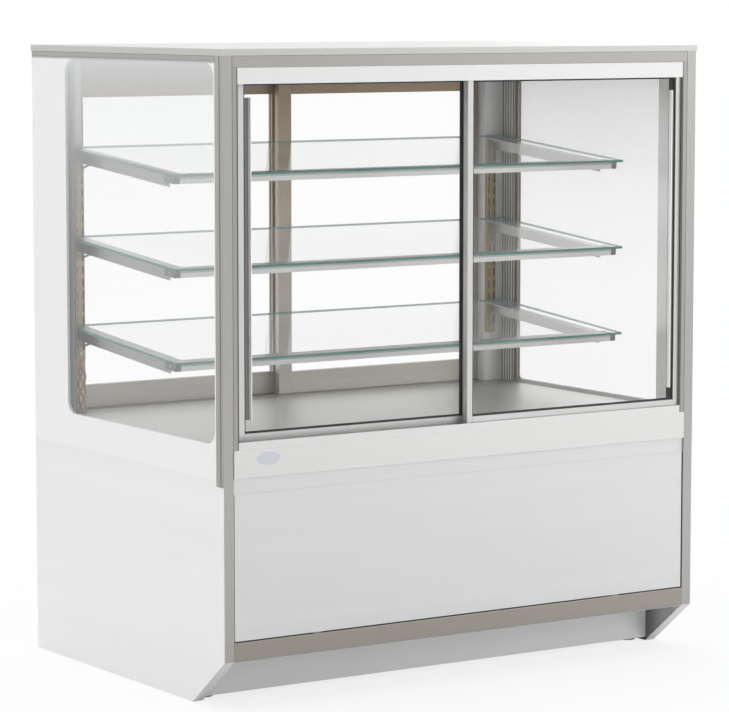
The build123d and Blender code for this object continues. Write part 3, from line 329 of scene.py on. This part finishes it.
def colour_setting(name, description, *rgb):
    """A colour property whose default is a screen colour."""
    return bpy.props.FloatVectorProperty(
        name=name,
        description=description,
        subtype="COLOR",
        size=3,
        min=0.0,
        max=1.0,
        default=screen(*rgb),
    )


def length_setting(name, description, millimetres):
    """A length property whose default is in millimetres."""
    return bpy.props.FloatProperty(
        name=name,
        description=description,
        unit="LENGTH",
        subtype="DISTANCE",
        precision=4,
        default=millimetres / 1000,
    )


def angle_setting(name, description, degrees):
    """An angle property whose default is in degrees."""
    return bpy.props.FloatProperty(
        name=name, description=description, subtype="ANGLE", default=math.radians(degrees)
    )


def strength_setting(name, description, strength):
    """A plain number property for a lamp's power or a light's strength."""
    return bpy.props.FloatProperty(name=name, description=description, default=strength)


class CaseFinishes(bpy.types.PropertyGroup):
    """Colours of the case's finishes."""

    post: colour_setting("Posts", "Brushed steel of the corner posts", 166, 165, 162)
    jamb: colour_setting("Jambs", "Brushed steel beside the front doors", 152, 151, 147)
    inside: colour_setting("Jamb insides", "Bright steel inside the front jambs", 226, 226, 225)
    # Painted shadow: this dark line stands for the shade in the gap between each front jamb and
    # its door
    gap: colour_setting("Jamb edges", "Dark line along the front jambs' edges", 92, 90, 86)
    cap: colour_setting("Cap", "Brushed steel of the cap", 184, 184, 182)
    top: colour_setting("Top rails", "Brushed steel of the rails under the cap", 162, 160, 156)
    rail: colour_setting("Bottom rail", "Warm steel of the bottom rail", 150, 146, 138)
    panel: colour_setting("Front panel", "Satin silver of the front panel", 214, 214, 214)
    side: colour_setting("End panels", "Satin silver of the lower end panels", 230, 230, 230)
    nose: colour_setting("Nosing", "Satin silver of the nosing", 216, 216, 215)
    border: colour_setting("End borders", "Pale paint round the end windows", 228, 228, 228)
    header: colour_setting("Header", "Pale paint over the front doors", 232, 232, 232)
    # Painted shadow: the grey band over each end window stands for the shade under the cap's lip;
    # it is no steel strip
    cap_lip_shadow: colour_setting("Border top", "Steel strip over the end windows", 172, 175, 178)
    kick: colour_setting("Toe board", "Pale paint of the toe board", 240, 240, 239)
    badge: colour_setting("Blank plate", "Plain metal of the oval plate", 196, 198, 206)
    alloy: colour_setting("Front doors", "Satin alloy of the front doors", 195, 195, 194)
    # Painted shade in the pulls' channels, and a painted highlight on their lips
    pull: colour_setting("Pulls", "Shaded channel of the door pulls", 128, 127, 126)
    lip: colour_setting("Pull lips", "Bright lip of the door pulls", 244, 244, 243)
    nylon: colour_setting("Rollers", "Nylon of the door rollers", 214, 210, 200)
    rear: colour_setting("Rear tracks", "Grey-beige alloy of the rear tracks", 148, 138, 124)
    # Painted reflection: the rear door frames turn darker and warmer from bottom to top
    low: colour_setting("Rear doors, low", "Rear door frames at the bottom", 190, 185, 178)
    high: colour_setting("Rear doors, high", "Rear door frames at the top", 156, 136, 112)
    zinc: colour_setting("Standards", "Galvanised steel of the shelf standards", 160, 140, 108)
    plated: colour_setting("Screws", "Zinc plate of the screws and feet", 180, 180, 184)
    sheet: colour_setting("Back panel", "Galvanised sheet of the base and back", 176, 178, 180)
    deck: colour_setting("Deck", "Satin steel of the display floor", 178, 179, 175)
    arm: colour_setting("Shelf arms", "Satin steel of the shelf arms", 168, 168, 166)
    glass: colour_setting("Glass", "Tint of the clear glass", 244, 246, 246)
    # The end glass's tint, which also colours its painted reflection towards the top
    veil: colour_setting("End glass", "Tint of the end glass", 232, 234, 235)
    edge: colour_setting("Glass edge", "Tint along the edges of shelf glass", 72, 130, 122)
    seal: colour_setting("Seals", "Dark strip behind the end glass", 66, 72, 76)
    gasket: colour_setting("Gaskets", "Rubber round the door glass", 40, 40, 42)
    lens: colour_setting("Lamp lenses", "Opal lamp lenses", 200, 201, 199)
    housing: colour_setting("Lamp bars", "Paint of the lamp housings", 172, 172, 169)
    bar_end: colour_setting("Lamp bar ends", "Plastic of the lamp bars' end caps", 112, 111, 110)
    lead: colour_setting("Leads", "Sheath of the lamp leads", 188, 146, 98)
    black: colour_setting("Inlet and switch", "Plastic of the inlet and switch", 34, 34, 35)
    driver: colour_setting("Lamp driver", "Paint of the lamp driver's box", 206, 206, 204)


class CaseFittings(bpy.types.PropertyGroup):
    """Sizes of the small repeated pieces and of the narrow lines in the finishes."""

    rib_count: bpy.props.IntProperty(
        name="Ribs", description="Ribs on each rear column", default=7, min=1
    )
    rib_pitch: length_setting("Rib pitch", "Distance between ribs", 10.0)
    rib_width: length_setting("Rib width", "Width of one rib", 3.0)
    rib_stand: length_setting("Rib stand", "How far a rib stands out", 1.5)
    screw_radius: length_setting("Screw radius", "Radius of a lamp bar's end screw", 3.0)
    screw_stand: length_setting("Screw stand", "How far that screw's head stands out", 1.6)
    # The width of the painted shadow along the jambs' edges
    gap_shadow_width: length_setting("Gap", "Width of the dark line at the front jambs' edges", 2.2)
    # The width of the painted highlight on the pulls' lips
    lip_highlight_width: length_setting("Pull lip", "Width of the bright lip on the door pulls", 2.4)


class CaseStage(bpy.types.PropertyGroup):
    """Camera, lamps and surroundings."""

    turn: angle_setting("Turn", "How far the camera looks round from straight ahead", 33.30)
    dip: angle_setting("Dip", "How far the camera looks down", 6.22)
    place: bpy.props.FloatVectorProperty(
        name="Place",
        description="Where the camera stands",
        subtype="TRANSLATION",
        size=3,
        default=(-3.950, -6.017, 1.444),
    )
    ambient: strength_setting("Ambient", "Strength of the light from all round", 0.98)
    lean: strength_setting("Lean", "How much more of it comes from the left and back", 0.8)
    mirror: strength_setting("Mirror", "Strength of the surroundings that metal shows", 1.15)
    mirror_lean: strength_setting("Mirror lean", "How much brighter they are behind left", 0.26)
    flare: strength_setting("Flare", "Extra brightness that metal shows at the right", 3.0)
    key: strength_setting("Key lamp", "Power of the lamp at the front right", 28.0)
    top: strength_setting("Top lamp", "Power of the lamp overhead", 25.0)


# Helpers for pieces


def settings_of(context):
    """The case's three groups of settings."""
    scene = context.scene
    return scene.case_finishes, scene.case_fittings, scene.case_stage


def dress(material, *names):
    """Gives CAD nodes a finish; their shapes stay as they are."""
    for name in names:
        mesh = NODES[name].data
        mesh.materials.clear()
        mesh.materials.append(material)


def both(name):
    """A node's left and right names, with a star where the side goes."""
    return [name.replace("*", side) for side in SIDES]


def heights_of(name):
    """A node's lowest and highest Z."""
    return [corner.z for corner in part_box(name)]


def plated_steel(colours):
    """The finish of every screw and foot."""
    return finish("zinc_plate", even, colours.plated, roughness=0.35, metallic=1.0)


def grown(name, build_tree, material, slot_name, body="cabinet", **sizes):
    """A mesh piece grown by a geometry tree whose inputs are set by name."""
    group = bpy.data.node_groups.new(name + "_tree", "GeometryNodeTree")
    face = group.interface
    face.new_socket("Geometry", in_out="OUTPUT", socket_type="NodeSocketGeometry")
    kinds = {int: "NodeSocketInt", float: "NodeSocketFloat", Vector: "NodeSocketVector"}
    slots = {}
    for label, value in sizes.items():
        slots[label] = face.new_socket(
            label.capitalize(), in_out="INPUT", socket_type=kinds[type(value)]
        ).identifier
    tree = Tree(group)
    inputs = dict(zip(sizes, tree.node("NodeGroupInput").values()))
    shape = build_tree(tree, **inputs)
    real = tree.node("GeometryNodeRealizeInstances", None, shape)["Geometry"]
    painted = tree.node("GeometryNodeSetMaterial", None, Geometry=real, Material=material)
    tree.node("NodeGroupOutput", None, painted["Geometry"])
    holder = bpy.data.objects.new(name + "_holder", bpy.data.meshes.new(name + "_seed"))
    bpy.context.scene.collection.objects.link(holder)
    modifier = holder.modifiers.new("grow", "NODES")
    modifier.node_group = group
    for label, value in sizes.items():
        modifier[slots[label]] = list(value) if isinstance(value, Vector) else value
    graph = bpy.context.evaluated_depsgraph_get()
    mesh = bpy.data.meshes.new_from_object(holder.evaluated_get(graph))
    bpy.data.objects.remove(holder)
    piece = bpy.data.objects.new(name, mesh)
    bpy.context.scene.collection.objects.link(piece)
    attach(piece, body)


def row(tree, shape, count, place, **pitch):
    """Copies of a shape along one axis, from a place."""
    step = tree.node("ShaderNodeCombineXYZ", None, **pitch)["Vector"]
    line = tree.node("GeometryNodeMeshLine", None, Count=count, Offset=step)["Mesh"]
    copies = tree.node("GeometryNodeInstanceOnPoints", None, Points=line, Instance=shape)
    moved = tree.node(
        "GeometryNodeTransform", None, Geometry=copies["Instances"], Translation=place
    )
    return moved["Geometry"]


def ribs(tree, count, pitch, size, place):
    """Upright ribs, one behind the other."""
    rib = tree.node("GeometryNodeMeshCube", None, Size=size)["Mesh"]
    return row(tree, rib, count, place, Y=pitch)


def domed_screws(tree, count, pitch, radius, stand, place):
    """Domed screw heads, one above the other."""
    ball = tree.node("GeometryNodeMeshUVSphere", None, Segments=16, Rings=8, Radius=radius)
    flat = tree.node("ShaderNodeCombineXYZ", None, X=stand, Y=1.0, Z=1.0)["Vector"]
    dome = tree.node("GeometryNodeTransform", None, Geometry=ball["Mesh"], Scale=flat)
    return row(tree, dome["Geometry"], count, place, Z=pitch)


# Pieces


class CASE_OT_posts_and_cap(bpy.types.Operator):
    """Brushed steel on the posts, jambs, cap, top rails and bottom rail, with a painted shadow
    along the jambs' inner edges
    """

    bl_idname = "bakery_case.posts_and_cap"
    bl_label = "Posts, cap and rails"

    def execute(self, context):
        colours, sizes, _ = settings_of(context)
        post = finish("post_steel", brushed, colours.post, roughness=0.34, grain=ALONG_Z)
        cap = finish("cap_steel", brushed, colours.cap, roughness=0.36, grain=ALONG_X)
        top = finish("top_steel", brushed, colours.top, roughness=0.36, grain=ALONG_X)
        rail = finish("rail_steel", brushed, colours.rail, roughness=0.38, grain=ALONG_X)
        jamb = finish(
            "jamb_steel",
            jamb_steel,
            colours.jamb,
            colours.inside,
            colours.gap,
            step=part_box("corner_post_left")[1].y - JAMB_STEP,
            edge=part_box("front_header")[1].x + sizes.gap_shadow_width,
            roughness=0.36,
            metallic=0.9,
        )
        dress(post, *both("corner_post_*"), "lower_posts")
        dress(jamb, "front_jambs")
        dress(cap, "top_panel")
        dress(top, "top_rails")
        dress(rail, "front_rail")
        return {"FINISHED"}


class CASE_OT_panels(bpy.types.Operator):
    """Satin silver on the lower panels and nosing, paint on the end borders and header, with a
    painted shadow along the borders' tops under the cap
    """

    bl_idname = "bakery_case.panels"
    bl_label = "Panels"

    def execute(self, context):
        colours, _, _ = settings_of(context)
        satin = {"metallic": 0.35}
        panel = finish(
            "panel_silver", brushed, colours.panel, roughness=0.5, grain=ALONG_X, **satin
        )
        side = finish("side_silver", brushed, colours.side, roughness=0.5, grain=ALONG_Y, **satin)
        nose = finish("nose_silver", brushed, colours.nose, roughness=0.42, grain=ALONG_X, **satin)
        header = finish("header_paint", even, colours.header, roughness=0.4)
        # The end borders turn grey above the windows' tops: a painted shadow under the cap's lip
        border = finish(
            "border_paint",
            two_tone,
            colours.border,
            colours.cap_lip_shadow,
            axis=2,
            limit=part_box("end_glass_left")[1].z,
            roughness=0.4,
            metallic=0.0,
        )
        dress(panel, "front_panel", "trim_strip")
        dress(side, *both("end_panel_*"))
        dress(nose, "sill_nose", "front_door_sill")
        dress(header, "front_header")
        dress(border, *both("end_frame_*"))
        return {"FINISHED"}


class CASE_OT_base(bpy.types.Operator):
    """Plain finishes on the frame, floor, feet and back of the base"""

    bl_idname = "bakery_case.base"
    bl_label = "Base and back"

    def execute(self, context):
        colours, _, _ = settings_of(context)
        sheet = finish("sheet_zinc", brushed, colours.sheet, roughness=0.45, grain=ALONG_X)
        dress(sheet, "base_frame", "base_floor", "rear_panel")
        dress(finish("kick_paint", even, colours.kick, roughness=0.5), "kick_plate")
        dress(plated_steel(colours), "levelling_feet", "panel_screws")
        return {"FINISHED"}


class CASE_OT_badge_place(bpy.types.Operator):
    """Plain metal on the blank oval plate"""

    bl_idname = "bakery_case.badge_place"
    bl_label = "Blank plate"

    def execute(self, context):
        colours, _, _ = settings_of(context)
        blank = finish("blank_plate", even, colours.badge, roughness=0.3, metallic=0.6)
        dress(blank, "badge_plate")
        return {"FINISHED"}


class CASE_OT_end_glass(bpy.types.Operator):
    """Glass in the ends, with a painted reflection towards its top, and the dark strip behind its
    rear edge
    """

    bl_idname = "bakery_case.end_glass"
    bl_label = "End glass"

    def execute(self, context):
        colours, _, _ = settings_of(context)
        bottom, top = heights_of("end_glass_left")
        # The end glass hides more towards its top: a painted reflection
        glass = finish(
            "end_pane",
            end_pane,
            colours.veil,
            clearness=0.96,
            gloss=1.6,
            bottom=bottom,
            top=top,
            veil=0.52,
        )
        dress(glass, *both("end_glass_*"))
        seal = finish("seal_rubber", outward, colours.seal, colours.rear, roughness=0.5)
        dress(seal, "end_seals")
        return {"FINISHED"}


class CASE_OT_front_doors(bpy.types.Operator):
    """Alloy, rubber, glass and nylon on the front doors, with painted shade and highlights on the
    pulls
    """

    bl_idname = "bakery_case.front_doors"
    bl_label = "Front doors"

    def execute(self, context):
        colours, sizes, _ = settings_of(context)
        alloy = finish("door_alloy", brushed, colours.alloy, roughness=0.38, grain=ALONG_Z)
        rubber = finish("gasket_rubber", even, colours.gasket, roughness=0.6)
        clear = finish("door_pane", pane, colours.glass, clearness=0.98, gloss=0.8)
        nylon = finish("roller_nylon", even, colours.nylon, roughness=0.5)
        dress(alloy, *both("front_*_door_frame"))
        dress(rubber, *both("front_*_door_gasket"))
        dress(clear, *both("front_*_door_glass"))
        dress(nylon, *both("front_*_door_roller_a"), *both("front_*_door_roller_b"))
        left, right = both("front_*_door_pull")
        self.pull(left, colours.pull, colours.lip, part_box(left)[1].x - sizes.lip_highlight_width)
        self.pull(right, colours.lip, colours.pull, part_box(right)[0].x + sizes.lip_highlight_width)
        return {"FINISHED"}

    def pull(self, name, first, second, limit):
        """A pull with painted shade in its channel and a painted highlight on its lip, on the side
        towards the middle of its door.
        """
        tones = finish(
            name, two_tone, first, second, axis=0, limit=limit, roughness=0.35, metallic=0.3
        )
        dress(tones, name)


class CASE_OT_rear_doors(bpy.types.Operator):
    """Grey-beige alloy and glass on the rear doors and their tracks, with a painted warm
    reflection towards the frames' tops
    """

    bl_idname = "bakery_case.rear_doors"
    bl_label = "Rear doors"

    def execute(self, context):
        colours, _, _ = settings_of(context)
        rough = {"roughness": 0.45, "metallic": 0.8}
        track = finish("rear_alloy", brushed, colours.rear, grain=ALONG_X, **rough)
        bottom, top = heights_of("rear_left_door_frame")
        # The frames grade to a darker, warmer tone at the top: a painted reflection
        frame = finish(
            "rear_frame", graded, colours.low, colours.high, bottom=bottom, top=top, **rough
        )
        clear = finish("rear_pane", pane, colours.glass, clearness=0.99, gloss=0.4)
        dress(track, "rear_door_sill", "rear_header")
        dress(frame, *both("rear_*_door_frame"))
        dress(clear, *both("rear_*_door_glass"))
        return {"FINISHED"}


class CASE_OT_shelves(bpy.types.Operator):
    """Glass, steel, lamps and leads inside the case, with a faint painted glow in the lamp lenses
    """

    bl_idname = "bakery_case.shelves"
    bl_label = "Shelves and deck"

    def execute(self, context):
        colours, _, _ = settings_of(context)
        glass = finish(
            "shelf_glass", shelf_pane, colours.glass, colours.edge, clearness=0.86, gloss=0.45
        )
        arm = finish("arm_steel", brushed, colours.arm, roughness=0.4, grain=ALONG_Y)
        deck = finish("deck_steel", brushed, colours.deck, roughness=0.42, grain=ALONG_X)
        zinc = finish("standard_zinc", brushed, colours.zinc, roughness=0.4, grain=ALONG_Z)
        # The lamps are off: the lenses' faint glow is painted light
        lens = finish("lamp_lens", diffuser, colours.lens, roughness=0.45, glow=0.12)
        housing = finish("lamp_housing", even, colours.housing, roughness=0.4, metallic=0.3)
        bar_end = finish("cap_plastic", even, colours.bar_end, roughness=0.5)
        sheath = finish("lead_sheath", even, colours.lead, roughness=0.45)
        dress(glass, *["shelf_glass_" + level for level in SHELVES])
        dress(arm, "shelf_arms")
        dress(deck, "deck")
        dress(zinc, "shelf_standards")
        dress(lens, "shelf_light_lenses", "header_lamp_lens")
        dress(housing, "shelf_light_bars", "header_lamp")
        dress(bar_end, "shelf_light_end_caps")
        dress(sheath, "lamp_leads")
        return {"FINISHED"}


class CASE_OT_electrics(bpy.types.Operator):
    """Plastic and paint on the driver, inlet and switch"""

    bl_idname = "bakery_case.electrics"
    bl_label = "Electrical parts"

    def execute(self, context):
        colours, _, _ = settings_of(context)
        black = finish("black_plastic", even, colours.black, roughness=0.45)
        driver = finish("driver_paint", even, colours.driver, roughness=0.45)
        dress(black, "power_inlet", "switch_housing", "switch_rocker")
        dress(driver, "driver_box")
        return {"FINISHED"}


class CASE_OT_column_ribs(bpy.types.Operator):
    """Upright ribs on the inner faces of the rear columns"""

    bl_idname = "bakery_case.column_ribs"
    bl_label = "Column ribs"

    def execute(self, context):
        colours, sizes, _ = settings_of(context)
        material = finish("rib_alloy", brushed, colours.rear, roughness=0.4, grain=ALONG_Z)
        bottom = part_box("deck")[1].z
        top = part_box("rear_header")[1].z
        column_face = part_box("deck")[1].x + DECK_GAP
        first_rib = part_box("end_seals")[0].y + sizes.rib_width / 2
        for side, sign in SIDES.items():
            grown(
                "column_ribs_" + side,
                ribs,
                material,
                "rear_alloy",
                count=sizes.rib_count,
                pitch=sizes.rib_pitch,
                size=Vector((sizes.rib_stand * 2, sizes.rib_width, top - bottom)),
                place=Vector((sign * column_face, first_rib, (top + bottom) / 2)),
            )
        return {"FINISHED"}


class CASE_OT_bar_screws(bpy.types.Operator):
    """One domed screw on each end cap of the shelf lamp bars"""

    bl_idname = "bakery_case.bar_screws"
    bl_label = "Lamp bar screws"

    def execute(self, context):
        colours, sizes, _ = settings_of(context)
        low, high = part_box("shelf_light_end_caps")
        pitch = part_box("shelf_glass_middle")[0].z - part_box("shelf_glass_bottom")[0].z
        cap_height = (high.z - low.z) - pitch * (len(SHELVES) - 1)
        for side, sign in SIDES.items():
            grown(
                "lamp_bar_screws_" + side,
                domed_screws,
                plated_steel(colours),
                "zinc",
                count=len(SHELVES),
                pitch=pitch,
                radius=sizes.screw_radius,
                stand=sizes.screw_stand / sizes.screw_radius,
                place=Vector((sign * high.x, (low.y + high.y) / 2, low.z + cap_height / 2)),
            )
        return {"FINISHED"}


# Studio


def area_lamp(name, power, size, place, target):
    """A square lamp that looks at a point and doesn't show in metal."""
    lamp = bpy.data.lights.new(name, "AREA")
    lamp.energy = power
    lamp.size = size
    holder = bpy.data.objects.new(name, lamp)
    bpy.context.scene.collection.objects.link(holder)
    holder.location = place
    holder.rotation_euler = (Vector(target) - Vector(place)).to_track_quat("-Z", "Y").to_euler()
    holder.visible_glossy = False


def rays_of(tree):
    """Whether a ray comes straight from the camera or through glass, and the light path."""
    path = tree.node("ShaderNodeLightPath")
    return path["Is Camera Ray"].most(path["Is Transmission Ray"]), path


def studio_floor(tree, glow, near, reach):
    """A white floor that keeps the case's shadow close to it."""
    seen, _ = rays_of(tree)
    away = tree.node("ShaderNodeVectorMath", {"operation": "LENGTH"}, place_on(tree))["Value"]
    plain = ((away - near) * (1 / reach) + glow).most(glow).least(1.0)
    lit = tree.node("ShaderNodeBsdfDiffuse", None, Color=FLOOR_PAINT)["BSDF"]
    white = tree.node("ShaderNodeEmission", None, Color=WHITE, Strength=1.0)["Emission"]
    return tree.node("ShaderNodeMixShader", None, seen * plain, lit, white)["Shader"]


class CASE_OT_studio(bpy.types.Operator):
    """Camera at the photograph's angle, soft lamps and a white floor"""

    bl_idname = "bakery_case.studio"
    bl_label = "Studio"

    def execute(self, context):
        _, _, stage = settings_of(context)
        scene = context.scene
        scene.view_settings.view_transform = "Standard"
        self.camera(scene, stage)
        self.floor(scene)
        self.world(scene, stage)
        area_lamp("key_lamp", stage.key, KEY_SIZE, KEY_PLACE, KEY_TARGET)
        area_lamp("top_lamp", stage.top, TOP_SIZE, TOP_PLACE, TOP_TARGET)
        return {"FINISHED"}

    def camera(self, scene, stage):
        """The camera that took the photograph."""
        camera = bpy.data.cameras.new("photo_camera")
        camera.sensor_width = SENSOR_WIDTH
        camera.lens = SENSOR_WIDTH * FOCAL_PIXELS / PHOTO_WIDTH
        camera.clip_start = 0.05
        camera.clip_end = 200.0
        holder = bpy.data.objects.new("photo_camera", camera)
        scene.collection.objects.link(holder)
        holder.location = stage.place
        holder.rotation_euler = Euler((math.pi / 2 - stage.dip, 0.0, -stage.turn))
        scene.camera = holder

    def floor(self, scene):
        """A wide flat floor."""
        ends = (-FLOOR_REACH, FLOOR_REACH)
        corners = [(x, y, 0.0) for y in ends for x in ends]
        mesh = bpy.data.meshes.new("studio_floor")
        mesh.from_pydata(corners, [], [(0, 1, 3, 2)])
        mesh.materials.append(
            finish("studio_floor", studio_floor, glow=0.80, near=1.2, reach=6.0)
        )
        plane = bpy.data.objects.new("studio_floor", mesh)
        scene.collection.objects.link(plane)

    def world(self, scene, stage):
        """White surroundings: plain to the eye, leaning for light, and banded for metal."""
        scene.world = bpy.data.worlds.new("studio_light")
        scene.world.use_nodes = True
        tree = Tree(scene.world.node_tree)
        seen, path = rays_of(tree)
        glossy = path["Is Glossy Ray"]
        x, y, _ = axes_of(tree, place_on(tree))
        across = y * math.cos(stage.turn) - x * math.sin(stage.turn)
        around = (across.least(LEAN_MOST) * stage.lean + 1.0) * stage.ambient
        right = ((x - FLARE_START) * FLARE_RISE).most(0.0).least(1.0)
        shown = (across * stage.mirror_lean + 1.0) * stage.mirror + right * stage.flare
        unseen = glossy * shown + (1.0 - glossy) * around
        strength = seen + (1.0 - seen) * unseen
        light = tree.node("ShaderNodeBackground", None, Color=WHITE, Strength=strength)
        tree.node("ShaderNodeOutputWorld", None, Surface=light["Background"])


OPERATORS = (
    CASE_OT_posts_and_cap,
    CASE_OT_panels,
    CASE_OT_base,
    CASE_OT_badge_place,
    CASE_OT_end_glass,
    CASE_OT_front_doors,
    CASE_OT_rear_doors,
    CASE_OT_shelves,
    CASE_OT_electrics,
    CASE_OT_column_ribs,
    CASE_OT_bar_screws,
    CASE_OT_studio,
)


class CASE_PT_sidebar(bpy.types.Panel):
    """Lists the case's pieces and their settings"""

    bl_idname = "CASE_PT_sidebar"
    bl_label = "Bakery Case"
    bl_space_type = "VIEW_3D"
    bl_region_type = "UI"
    bl_category = "Bakery Case"

    def draw(self, context):
        for group in settings_of(context):
            box = self.layout.box()
            for name in group.__annotations__:
                box.prop(group, name)
        for operator in OPERATORS:
            self.layout.operator(operator.bl_idname)


GROUPS = {
    "case_finishes": CaseFinishes,
    "case_fittings": CaseFittings,
    "case_stage": CaseStage,
}


def register():
    """Adds the classes and the scene's settings."""
    for made in (*GROUPS.values(), *OPERATORS, CASE_PT_sidebar):
        bpy.utils.register_class(made)
    for name, group in GROUPS.items():
        setattr(bpy.types.Scene, name, bpy.props.PointerProperty(type=group))


def unregister():
    """Takes them away again."""
    for name in GROUPS:
        delattr(bpy.types.Scene, name)
    for made in (CASE_PT_sidebar, *reversed(OPERATORS), *GROUPS.values()):
        bpy.utils.unregister_class(made)


def main():
    """Runs every operator in order."""
    register()
    for operator in OPERATORS:
        family, name = operator.bl_idname.split(".")
        getattr(getattr(bpy.ops, family), name)()


if __name__ == "__main__":
    main()
